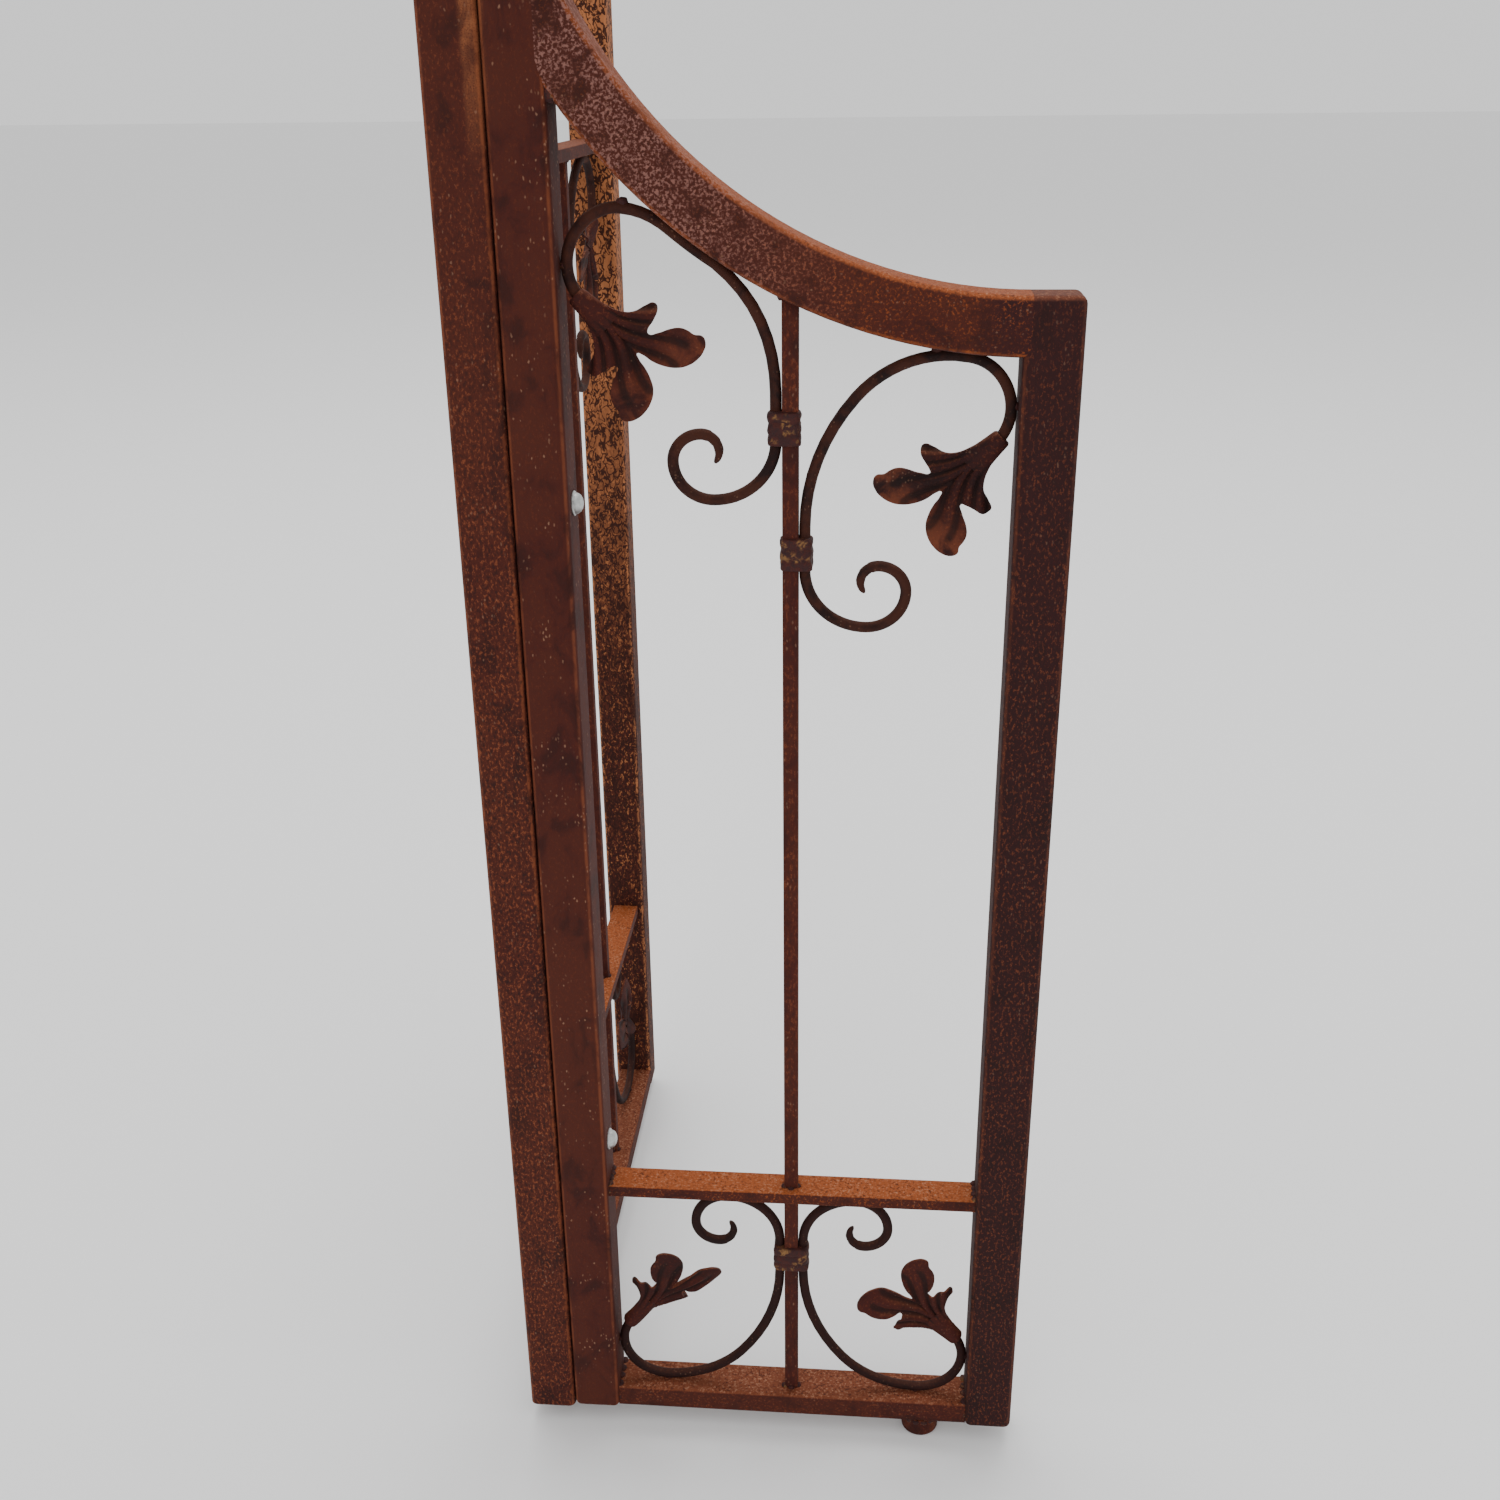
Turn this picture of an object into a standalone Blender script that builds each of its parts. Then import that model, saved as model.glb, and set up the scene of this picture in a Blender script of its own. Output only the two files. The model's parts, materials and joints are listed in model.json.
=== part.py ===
"""Garden arch of square steel tube with a trellis wing bolted to each side.

Metres, +Z up, X across the walkway, Y through it, the floor at Z = 0.
The right half is modelled; the left half is its mirror image.
"""
import math

import bmesh
import bpy
from mathutils import Matrix, Vector

# Overall
PASSAGE_WIDTH = 1.200
ARCH_DEPTH = 0.400
LEG_HEIGHT = 1.780
WING_WIDTH = 0.290
OUTER_STILE_HEIGHT = 0.725
INNER_STILE_RISE = 0.009

# Square tube
TUBE = 0.030
TUBE_WALL = 0.002
TUBE_CORNER = 0.004
CORNER_SEGMENTS = 2

# Rails and rods
ARC_SWEEP = math.radians(60.5)
ARC_CENTRE_INSET = 0.025
ARC_SPARE = (math.radians(19.5), math.radians(5.0))
ARC_STEPS = 18
BOTTOM_RAIL_HEIGHT = 0.016
BOTTOM_RAIL_RECESS = 0.003
BOTTOM_RAIL_WALL = 0.0015
RAIL_CORNER = 0.002
FLAT_WIDTH = 0.020
FLAT_HEIGHT = 0.008
MID_RAIL_LEVEL = 0.172
SIDE_TOP_RAIL_LEVEL = 0.776
ROD = 0.0085
EDGE_ROUND = 0.0008

# Scrollwork
BAR = 0.006
BAR_TIP = 0.0035
TIP_LENGTH = 0.012
SCROLL_HEIGHT = 0.153
SCROLL_PRESS = {"inner": 0.009, "outer": 0.003}
PRESS_STEP = 0.010
LEAF_LENGTH = 0.058
LEAF_THICKNESS = 0.003
LEAF_OVERLAP = 0.004
COLLAR_WALL = 0.0012
COLLAR_RIDGE = 0.0012
COLLAR_HEIGHT = 0.018
COLLAR_RIDGES = 3
TURNED_SIDES = 24

# Feet and fasteners
FOOT_HEIGHT = 0.0125
FOOT_DIAMETER = 0.024
WING_FOOT_INSET = 0.059
SIDE_FOOT_INSET = 0.050
BOLT_LEVELS = {"lower": 0.209, "upper": 0.617}
BOLT_DIAMETER = 0.008
BOLT_HEAD_DIAMETER = 0.014
BOLT_HEAD_HEIGHT = 0.005
BOLT_DOME_STEPS = 4
BOLT_SIDES = 16
NUT_DIAMETER = 0.015
NUT_HEIGHT = 0.0065
NUT_SIDES = 6
BOLT_THREAD_END = 0.002

# Arch top
SPIGOT_LENGTH = 0.050
HOOP_STEPS = 20
CROSS_BARS = 4
CROSS_BAR_END_ANGLE = 27.0

# Fits
JOINT_GAP = 0.0003
BOLT_CLEARANCE = 0.0004
ROD_CLEARANCE = 0.0003
COLLAR_CLEARANCE = 0.0005
SPIGOT_CLEARANCE = 0.0004

# Places worked out from the sizes above
LEG_INNER_X = PASSAGE_WIDTH / 2
SEAM_X = LEG_INNER_X + TUBE
FRONT_Y = -ARCH_DEPTH / 2
LEG_TOP = FOOT_HEIGHT + LEG_HEIGHT
RAIL_TOP = FOOT_HEIGHT + BOTTOM_RAIL_HEIGHT
MID_RAIL_BOTTOM = FOOT_HEIGHT + MID_RAIL_LEVEL
BOLTS = {label: FOOT_HEIGHT + level for label, level in BOLT_LEVELS.items()}
WING_Y = FRONT_Y + TUBE / 2
SIDE_X = LEG_INNER_X + TUBE / 2
WING_X0 = SEAM_X + JOINT_GAP
WING_X1 = WING_X0 + WING_WIDTH
BAY_X0 = WING_X0 + TUBE
BAY_X1 = WING_X1 - TUBE
ROD_X = (BAY_X0 + BAY_X1) / 2
SIDE_Y0 = FRONT_Y + TUBE
SIDE_Y1 = -SIDE_Y0
ARC_CENTRE_X = WING_X1 - ARC_CENTRE_INSET
ARC_SPAN = ARC_CENTRE_X - BAY_X0
ARC_RADIUS = ARC_SPAN / math.sin(ARC_SWEEP)
ARC_CENTRE_Z = FOOT_HEIGHT + OUTER_STILE_HEIGHT + ARC_RADIUS - TUBE / 2
ARC_END_TOP = ARC_CENTRE_Z - math.sqrt((ARC_RADIUS - TUBE / 2) ** 2 - ARC_SPAN ** 2)
INNER_STILE_TOP = ARC_END_TOP + INNER_STILE_RISE

# One scroll, from its leaf to its curl, as (radius, turn in degrees); no turn is a straight run
SCROLL_HEADING = 225.0
SCROLL_BENDS = (
    (0.026, 45.0), (0.0275, 90.0), (0.061, 50.0), (0.105, 40.0), (0.024, 0.0),
    (0.031, 90.0), (0.020, 90.0), (0.014, 90.0), (0.009, 90.0), (0.008, 30.0),
)
BEND_STEP = 22.5

# Half of the leaf's outline, along its axis and out from it, for a leaf of length 1
LEAF_HALF = (
    (0.00, 0.09), (0.14, 0.10), (0.25, 0.16), (0.33, 0.25), (0.37, 0.38), (0.43, 0.43),
    (0.50, 0.39), (0.52, 0.28), (0.54, 0.19), (0.60, 0.25), (0.65, 0.38), (0.80, 0.48),
    (0.93, 0.55), (1.00, 0.47), (0.99, 0.30), (0.90, 0.13), (0.74, 0.06), (0.60, 0.00),
)

MATERIALS = {
    "rusted_steel": ((0.17, 0.070, 0.045), 0.70, 0.75),
    "rusted_scrollwork": ((0.12, 0.060, 0.048), 0.70, 0.70),
    "zinc": ((0.62, 0.62, 0.60), 0.90, 0.35),
}


def clear_scene():
    for obj in list(bpy.data.objects):
        bpy.data.objects.remove(obj, do_unlink=True)


def make_collection(name):
    collection = bpy.data.collections.new(name)
    bpy.context.scene.collection.children.link(collection)
    return collection


def make_material(name):
    colour, metallic, roughness = MATERIALS[name]
    material = bpy.data.materials.new(name)
    material.use_nodes = True
    shader = material.node_tree.nodes["Principled BSDF"]
    shader.inputs["Base Color"].default_value = (*colour, 1.0)
    shader.inputs["Metallic"].default_value = metallic
    shader.inputs["Roughness"].default_value = roughness
    material.diffuse_color = (*colour, 1.0)
    return material


def add_object(name, data, material="rusted_steel", collection=None):
    obj = bpy.data.objects.new(name, data)
    (collection or PARTS).objects.link(obj)
    if not data.materials:
        data.materials.append(FINISHES[material])
    return obj


def mesh_from(bm, name):
    mesh = bpy.data.meshes.new(name)
    bmesh.ops.recalc_face_normals(bm, faces=bm.faces)
    bm.to_mesh(mesh)
    bm.free()
    return mesh


def evaluated_mesh(obj):
    """The object's mesh with its modifiers, in world space, with no loose seams."""
    bpy.context.view_layer.update()
    graph = bpy.context.evaluated_depsgraph_get()
    mesh = bpy.data.meshes.new_from_object(obj.evaluated_get(graph))
    mesh.transform(obj.matrix_world)
    bm = bmesh.new()
    bm.from_mesh(mesh)
    bmesh.ops.remove_doubles(bm, verts=bm.verts, dist=1e-6)
    bm.to_mesh(mesh)
    bm.free()
    return mesh


def to_cutter(obj):
    for collection in list(obj.users_collection):
        collection.objects.unlink(obj)
    CUTTERS.objects.link(obj)
    obj.hide_render = True
    obj.display_type = "WIRE"
    return obj


def combine(target, other, operation):
    modifier = target.modifiers.new(f"{operation.lower()} {other.name}", "BOOLEAN")
    modifier.operation = operation
    modifier.solver = "EXACT"
    modifier.object = to_cutter(other)


def box_bmesh(low, high):
    low, high = Vector(low), Vector(high)
    size = high - low
    bm = bmesh.new()
    bmesh.ops.create_cube(
        bm, size=1.0,
        matrix=Matrix.Translation((low + high) / 2) @ Matrix.Diagonal((*size, 1.0)),
    )
    return bm


def round_edges(bm, edges, radius, segments):
    bmesh.ops.bevel(
        bm, geom=edges, offset=radius, offset_type="OFFSET",
        segments=segments, profile=0.5, affect="EDGES",
    )


def edges_along(bm, axis):
    return [e for e in bm.edges
            if abs((e.verts[0].co - e.verts[1].co).normalized()[axis]) > 0.99]


def end_faces(bm, axis, sign):
    return [f for f in bm.faces if f.normal[axis] * sign > 0.99 and len(f.edges) > 4]


def solid_bar(name, low, high, material="rusted_steel"):
    obj = add_object(name, mesh_from(box_bmesh(low, high), name), material)
    bevel = obj.modifiers.new("edges", "BEVEL")
    bevel.width = EDGE_ROUND
    bevel.segments = 1
    return obj


def box_tube(name, low, high, axis, wall=TUBE_WALL, corner=TUBE_CORNER, capped_top=False):
    """Rounded box section with both ends open, or with its far end capped."""
    bm = box_bmesh(low, high)
    edges = edges_along(bm, axis)
    if capped_top:
        top = max(v.co[axis] for v in bm.verts)
        edges += [e for e in bm.edges if all(abs(v.co[axis] - top) < 1e-7 for v in e.verts)]
    round_edges(bm, edges, corner, CORNER_SEGMENTS)
    bm.normal_update()
    open_ends = end_faces(bm, axis, -1)
    if not capped_top:
        open_ends += end_faces(bm, axis, 1)
    bmesh.ops.delete(bm, geom=open_ends, context="FACES")
    obj = add_object(name, mesh_from(bm, name))
    tube_wall(obj, wall)
    return obj


def cylinder(name, diameter, length, location, axis, sides=TURNED_SIDES, material="zinc"):
    bm = bmesh.new()
    bmesh.ops.create_cone(
        bm, cap_ends=True, segments=sides,
        radius1=diameter / 2, radius2=diameter / 2, depth=length,
    )
    obj = add_object(name, mesh_from(bm, name), material)
    obj.location = location
    obj.rotation_euler = {"X": (0, math.pi / 2, 0), "Y": (math.pi / 2, 0, 0), "Z": (0, 0, 0)}[axis]
    return obj


def bent_tube(centre, radius, start_angle, turn, steps):
    """Open-ended square tube bent about a Y axis through centre, as a bmesh."""
    half = TUBE / 2
    bm = box_bmesh((radius - half, -half, 0.0), (radius + half, half, half))
    round_edges(bm, edges_along(bm, 2), TUBE_CORNER, CORNER_SEGMENTS)
    bmesh.ops.delete(bm, geom=[v for v in bm.verts if v.co.z > half / 2], context="VERTS")
    bmesh.ops.delete(bm, geom=bm.faces[:], context="FACES_ONLY")
    bmesh.ops.rotate(bm, verts=bm.verts, matrix=Matrix.Rotation(-start_angle, 3, "Y"))
    bmesh.ops.spin(
        bm, geom=bm.verts[:] + bm.edges[:], axis=(0, -1, 0), cent=(0, 0, 0),
        angle=turn, steps=steps, use_duplicate=False,
    )
    bmesh.ops.translate(bm, verts=bm.verts, vec=centre)
    return bm


def cut_away(bm, point, normal):
    """Remove what lies beyond the plane, on the side its normal points to, and close the cut."""
    cut = bmesh.ops.bisect_plane(
        bm, geom=bm.verts[:] + bm.edges[:] + bm.faces[:], dist=1e-7,
        plane_co=point, plane_no=normal, clear_outer=True,
    )
    rim = [e for e in cut["geom_cut"] if isinstance(e, bmesh.types.BMEdge)]
    bmesh.ops.contextual_create(bm, geom=rim)


def tube_wall(obj, thickness):
    shell = obj.modifiers.new("wall", "SOLIDIFY")
    shell.thickness = thickness
    shell.offset = -1.0
    shell.use_even_offset = True


def bend_path(heading, bends):
    """Points along a chain of tangent arcs, and the middle of its straight run."""
    point = Vector((0.0, 0.0))
    angle = math.radians(heading)
    points = [point.copy()]
    straight_middle = None
    for radius, turn in bends:
        if turn == 0.0:
            step = Vector((math.cos(angle), math.sin(angle))) * radius
            straight_middle = point + step / 2
            point = point + step
            points.append(point.copy())
            continue
        centre = point + Vector((-math.sin(angle), math.cos(angle))) * radius
        pieces = max(1, round(turn / BEND_STEP))
        for i in range(1, pieces + 1):
            a = angle + math.radians(turn) * i / pieces
            points.append(centre + Vector((math.sin(a), -math.cos(a))) * radius)
        point = points[-1].copy()
        angle += math.radians(turn)
    return points, straight_middle


def fit_to_box(points, low, high):
    """A function that stretches the points' own box onto the box from low to high."""
    a = Vector((min(p.x for p in points), min(p.y for p in points)))
    b = Vector((max(p.x for p in points), max(p.y for p in points)))
    scale = Vector(((high[0] - low[0]) / (b.x - a.x), (high[1] - low[1]) / (b.y - a.y)))
    return lambda p: Vector((low[0] + (p.x - a.x) * scale.x, low[1] + (p.y - a.y) * scale.y))


def scroll_path(low, high, flip_x, flip_z):
    """The scroll's centre line in the box, the middle of its straight run and its leaf's axis.

    Unflipped, the leaf is low on the left and the straight run is on the right.
    """
    points, middle = bend_path(SCROLL_HEADING, SCROLL_BENDS)
    place = fit_to_box(points, low, high)
    total = Vector((low[0] + high[0], low[1] + high[1]))

    def flip(p):
        p = place(p)
        return Vector((total.x - p.x if flip_x else p.x, total.y - p.y if flip_z else p.y))

    heading = math.radians(SCROLL_HEADING)
    axis = Vector((-math.cos(heading), -math.sin(heading)))
    axis = Vector((-axis.x if flip_x else axis.x, -axis.y if flip_z else axis.y))
    return [flip(p) for p in points], flip(middle), axis


def bar_outline(points):
    """Closed outline of a bar along the points, thinner over its last stretch."""
    lengths = [0.0]
    for a, b in zip(points, points[1:]):
        lengths.append(lengths[-1] + (b - a).length)
    left, right = [], []
    for i, p in enumerate(points):
        ahead = points[min(i + 1, len(points) - 1)] - points[max(i - 1, 0)]
        normal = Vector((-ahead.y, ahead.x)).normalized()
        from_end = min(1.0, (lengths[-1] - lengths[i]) / TIP_LENGTH)
        half = (BAR_TIP + (BAR - BAR_TIP) * from_end) / 2
        left.append(p + normal * half)
        right.append(p - normal * half)
    return left + right[::-1]


def leaf_outline(root, axis):
    side = Vector((-axis.y, axis.x))
    start = root - axis * LEAF_OVERLAP
    upper = [start + (axis * u + side * v) * LEAF_LENGTH for u, v in LEAF_HALF]
    lower = [start + (axis * u - side * v) * LEAF_LENGTH for u, v in LEAF_HALF[:-1]]
    return upper + lower[::-1]


def flat_plate(name, outline, thickness, rotation, location):
    """A flat outline extruded to its thickness, as a mesh object."""
    curve = bpy.data.curves.new(name, "CURVE")
    curve.dimensions = "2D"
    curve.fill_mode = "BOTH"
    curve.extrude = thickness / 2
    spline = curve.splines.new("POLY")
    spline.points.add(len(outline) - 1)
    for target, p in zip(spline.points, outline):
        target.co = (p.x, p.y, 0.0, 1.0)
    spline.use_cyclic_u = True
    guide = add_object(name, curve, "rusted_scrollwork")
    guide.rotation_euler = rotation
    guide.location = location
    mesh = evaluated_mesh(guide)
    bpy.data.objects.remove(guide, do_unlink=True)
    bm = bmesh.new()
    bm.from_mesh(mesh)
    bmesh.ops.recalc_face_normals(bm, faces=bm.faces)
    bm.to_mesh(mesh)
    bm.free()
    return add_object(name, mesh, "rusted_scrollwork")


WING_PLANE = ((math.pi / 2, 0.0, 0.0), (0.0, WING_Y, 0.0))
SIDE_PLANE = ((math.pi / 2, 0.0, math.pi / 2), (SIDE_X, 0.0, 0.0))


def scroll(name, path, axis, plane):
    rotation, location = plane
    bar = flat_plate(name, bar_outline(path), BAR, rotation, location)
    leaf = flat_plate(f"{name}_leaf", leaf_outline(path[0], axis), LEAF_THICKNESS, rotation, location)
    combine(bar, leaf, "UNION")
    return bar


def scroll_box(left, right, bottom, top):
    """Centre-line limits of a scroll that touches the four given faces."""
    inset = BAR / 2 + JOINT_GAP
    return (left + inset, bottom + inset), (right - inset, top - inset)


def divided(points, step):
    """The same line with no stretch between points longer than the step."""
    out = [points[0]]
    for a, b in zip(points, points[1:]):
        parts = max(1, math.ceil((b - a).length / step))
        out += [a.lerp(b, i / parts) for i in range(1, parts + 1)]
    return out


def straight_foot(path, middle):
    """The level below the middle of its straight run where a bar turns out of its collar."""
    nearest = min(range(len(path)), key=lambda i: (path[i] - middle).length)
    a = middle
    for b in path[nearest + 1:]:
        here, there = abs(a.x - middle.x), abs(b.x - middle.x)
        if there > COLLAR_CLEARANCE:
            return a.lerp(b, (COLLAR_CLEARANCE - here) / (there - here)).y
        a = b
    return a.y


def raised_to_arc(left, right, flip_x, press):
    """Path of an upper scroll between two faces, pressed up against the curved rail.

    The scroll is raised by the press past the place where it first meets the rail, and the part
    that would enter the rail lies along its underside. The collar goes up only as far as it must
    to stay on the bar's straight run.
    """
    low, high = scroll_box(left, right, 0.0, SCROLL_HEIGHT)
    path, middle, axis = scroll_path(low, high, flip_x, True)
    clear_radius = ARC_RADIUS + TUBE / 2 + BAR / 2 + JOINT_GAP
    lift = min(
        ARC_CENTRE_Z - math.sqrt(clear_radius ** 2 - (p.x - ARC_CENTRE_X) ** 2) - p.y
        for p in path
    )
    centre = Vector((ARC_CENTRE_X, ARC_CENTRE_Z))
    raised = Vector((0.0, lift + press))
    pressed = []
    for p in divided(path, PRESS_STEP):
        out = p + raised - centre
        pressed.append(centre + out * max(1.0, clear_radius / out.length))
    foot = straight_foot(pressed, middle + raised)
    level = max(middle.y + lift, foot + COLLAR_HEIGHT / 2)
    return pressed, Vector((middle.x, level)), axis


def collar(name, x0, x1, level):
    """Pressed band with three ridges around what lies between x0 and x1."""
    room = COLLAR_CLEARANCE + COLLAR_WALL
    centre = Vector(((x0 + x1) / 2, WING_Y, level))
    half = Vector(((x1 - x0) / 2 + room, ROD / 2 + room, COLLAR_HEIGHT / 2))
    bm = box_bmesh(centre - half, centre + half)
    round_edges(bm, edges_along(bm, 2), COLLAR_WALL, 1)
    bm.normal_update()
    ends = [f for f in bm.faces if abs(f.normal.z) > 0.99]
    bmesh.ops.delete(bm, geom=ends, context="FACES")
    pitch = COLLAR_HEIGHT / (2 * COLLAR_RIDGES)
    base = level - half.z
    for i in range(1, 2 * COLLAR_RIDGES):
        bmesh.ops.bisect_plane(
            bm, geom=bm.verts[:] + bm.edges[:] + bm.faces[:], dist=1e-7,
            plane_co=(0, 0, base + i * pitch), plane_no=(0, 0, 1),
        )
    for v in bm.verts:
        if round((v.co.z - base) / pitch) % 2:
            v.co.x += math.copysign(COLLAR_RIDGE, v.co.x - centre.x)
            v.co.y += math.copysign(COLLAR_RIDGE, v.co.y - centre.y)
    obj = add_object(name, mesh_from(bm, name), "rusted_scrollwork")
    tube_wall(obj, COLLAR_WALL)
    return obj


def bolt(name, level):
    """Domed bolt through the wing's stile, screwed into a nut held inside the leg."""
    head_face = WING_X0 + TUBE + JOINT_GAP
    nut_face = SEAM_X - TUBE_WALL - JOINT_GAP
    length = head_face - nut_face + NUT_HEIGHT + BOLT_THREAD_END
    radius = BOLT_HEAD_DIAMETER / 2
    dome = (radius ** 2 + BOLT_HEAD_HEIGHT ** 2) / (2 * BOLT_HEAD_HEIGHT)
    sweep = math.asin(radius / dome)
    profile = [
        (dome * math.sin(angle), BOLT_HEAD_HEIGHT - dome * (1 - math.cos(angle)))
        for angle in (sweep * i / BOLT_DOME_STEPS for i in range(BOLT_DOME_STEPS + 1))
    ]
    profile += [(BOLT_DIAMETER / 2, 0.0), (BOLT_DIAMETER / 2, -length), (0.0, -length)]
    bm = bmesh.new()
    verts = [bm.verts.new((x, 0.0, z)) for x, z in profile]
    for a, b in zip(verts, verts[1:]):
        bm.edges.new((a, b))
    mesh = bpy.data.meshes.new(name)
    bm.to_mesh(mesh)
    bm.free()
    obj = add_object(name, mesh, "zinc")
    obj.location = (head_face, WING_Y, level)
    obj.rotation_euler = (0.0, math.pi / 2, 0.0)
    turn = obj.modifiers.new("turned", "SCREW")
    turn.steps = turn.render_steps = BOLT_SIDES
    turn.use_merge_vertices = True
    turn.merge_threshold = 1e-5
    nut = cylinder(f"{name}_nut", NUT_DIAMETER, NUT_HEIGHT,
                   (nut_face - NUT_HEIGHT / 2, WING_Y, level), "X", sides=NUT_SIDES)
    combine(obj, nut, "UNION")
    return obj


def drill(obj, level):
    """A hole through both walls of the stile and the near wall of the leg."""
    hole = cylinder(f"{obj.name}_hole_{round(level * 1000)}", BOLT_DIAMETER + 2 * BOLT_CLEARANCE,
                    2 * TUBE, (WING_X0 + TUBE / 2, WING_Y, level), "X", sides=BOLT_SIDES)
    combine(obj, hole, "DIFFERENCE")


def rod_slot(obj, x, y):
    half = ROD / 2 + ROD_CLEARANCE
    low, high = (x - half, y - half, RAIL_TOP), (x + half, y + half, LEG_TOP)
    name = f"{obj.name}_slot_{len(obj.modifiers)}"
    combine(obj, add_object(name, mesh_from(box_bmesh(low, high), name)), "DIFFERENCE")


def foot(name, x, y, top):
    return cylinder(name, FOOT_DIAMETER, top, (x, y, top / 2), "Z", material="rusted_steel")


def build_wing():
    """The right-hand wing's pieces."""
    y0, y1 = FRONT_Y, FRONT_Y + TUBE
    left, right = BAY_X0 + JOINT_GAP, BAY_X1 - JOINT_GAP
    inner = box_tube("wing_inner_stile_r", (WING_X0, y0, FOOT_HEIGHT),
                     (BAY_X0, y1, INNER_STILE_TOP), 2, capped_top=True)
    box_tube("wing_outer_stile_r", (BAY_X1, y0, FOOT_HEIGHT),
             (WING_X1, y1, FOOT_HEIGHT + OUTER_STILE_HEIGHT), 2, capped_top=True)
    start = math.radians(270.0) - ARC_SWEEP - ARC_SPARE[0]
    turn = ARC_SPARE[0] + ARC_SWEEP + ARC_SPARE[1]
    bm = bent_tube((ARC_CENTRE_X, WING_Y, ARC_CENTRE_Z), ARC_RADIUS, start, turn, ARC_STEPS)
    arc = add_object("wing_arc_rail_r", mesh_from(bm, "wing_arc_rail_r"))
    tube_wall(arc, TUBE_WALL)
    for face, far in ((left, left - WING_WIDTH), (right, right + WING_WIDTH)):
        corners = ((min(face, far), y0 - TUBE, 0.0), (max(face, far), y1 + TUBE, LEG_TOP))
        end_cut = add_object(f"arc_end_{round(face * 1000)}", mesh_from(box_bmesh(*corners), "arc_end"))
        combine(arc, end_cut, "DIFFERENCE")

    bottom = box_tube("wing_bottom_rail_r", (left, y0 + BOTTOM_RAIL_RECESS, FOOT_HEIGHT),
                      (right, y1, RAIL_TOP), 0, BOTTOM_RAIL_WALL, RAIL_CORNER)
    middle = solid_bar("wing_mid_rail_r", (left, WING_Y - FLAT_WIDTH / 2, MID_RAIL_BOTTOM),
                       (right, WING_Y + FLAT_WIDTH / 2, MID_RAIL_BOTTOM + FLAT_HEIGHT))
    rod_slot(middle, ROD_X, WING_Y)

    half = ROD / 2
    bm = box_bmesh((ROD_X - half, WING_Y - half, RAIL_TOP + JOINT_GAP),
                   (ROD_X + half, WING_Y + half, LEG_TOP))
    out = Vector((ROD_X - ARC_CENTRE_X, 0.0))
    out.y = -math.sqrt((ARC_RADIUS + TUBE / 2) ** 2 - out.x ** 2)
    touch = Vector((ARC_CENTRE_X, ARC_CENTRE_Z)) + out * (1 + JOINT_GAP / out.length)
    cut_away(bm, (touch.x, 0, touch.y), (-out.x, 0, -out.y))
    add_object("wing_rod_r", mesh_from(bm, "wing_rod_r"))

    rod_left, rod_right = ROD_X - half, ROD_X + half
    lower = scroll_box(BAY_X0, rod_left, RAIL_TOP, MID_RAIL_BOTTOM)
    path, lower_middle, axis = scroll_path(*lower, False, False)
    scroll("wing_scroll_lower_inner_r", path, axis, WING_PLANE)
    lower = scroll_box(rod_right, BAY_X1, RAIL_TOP, MID_RAIL_BOTTOM)
    path, _, axis = scroll_path(*lower, True, False)
    scroll("wing_scroll_lower_outer_r", path, axis, WING_PLANE)
    path, inner_middle, axis = raised_to_arc(BAY_X0, rod_left, False, SCROLL_PRESS["inner"])
    scroll("wing_scroll_upper_inner_r", path, axis, WING_PLANE)
    path, outer_middle, axis = raised_to_arc(rod_right, BAY_X1, True, SCROLL_PRESS["outer"])
    scroll("wing_scroll_upper_outer_r", path, axis, WING_PLANE)

    reach = BAR + JOINT_GAP
    collar("wing_collar_lower_r", rod_left - reach, rod_right + reach, lower_middle.y)
    collar("wing_collar_upper_r", rod_left - reach, rod_right, inner_middle.y)
    collar("wing_collar_middle_r", rod_left, rod_right + reach, outer_middle.y)

    foot("wing_foot_r", WING_X1 - WING_FOOT_INSET, WING_Y, FOOT_HEIGHT - JOINT_GAP)
    for label, level in BOLTS.items():
        drill(inner, level)
        bolt(f"wing_bolt_{label}_r", level)


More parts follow.
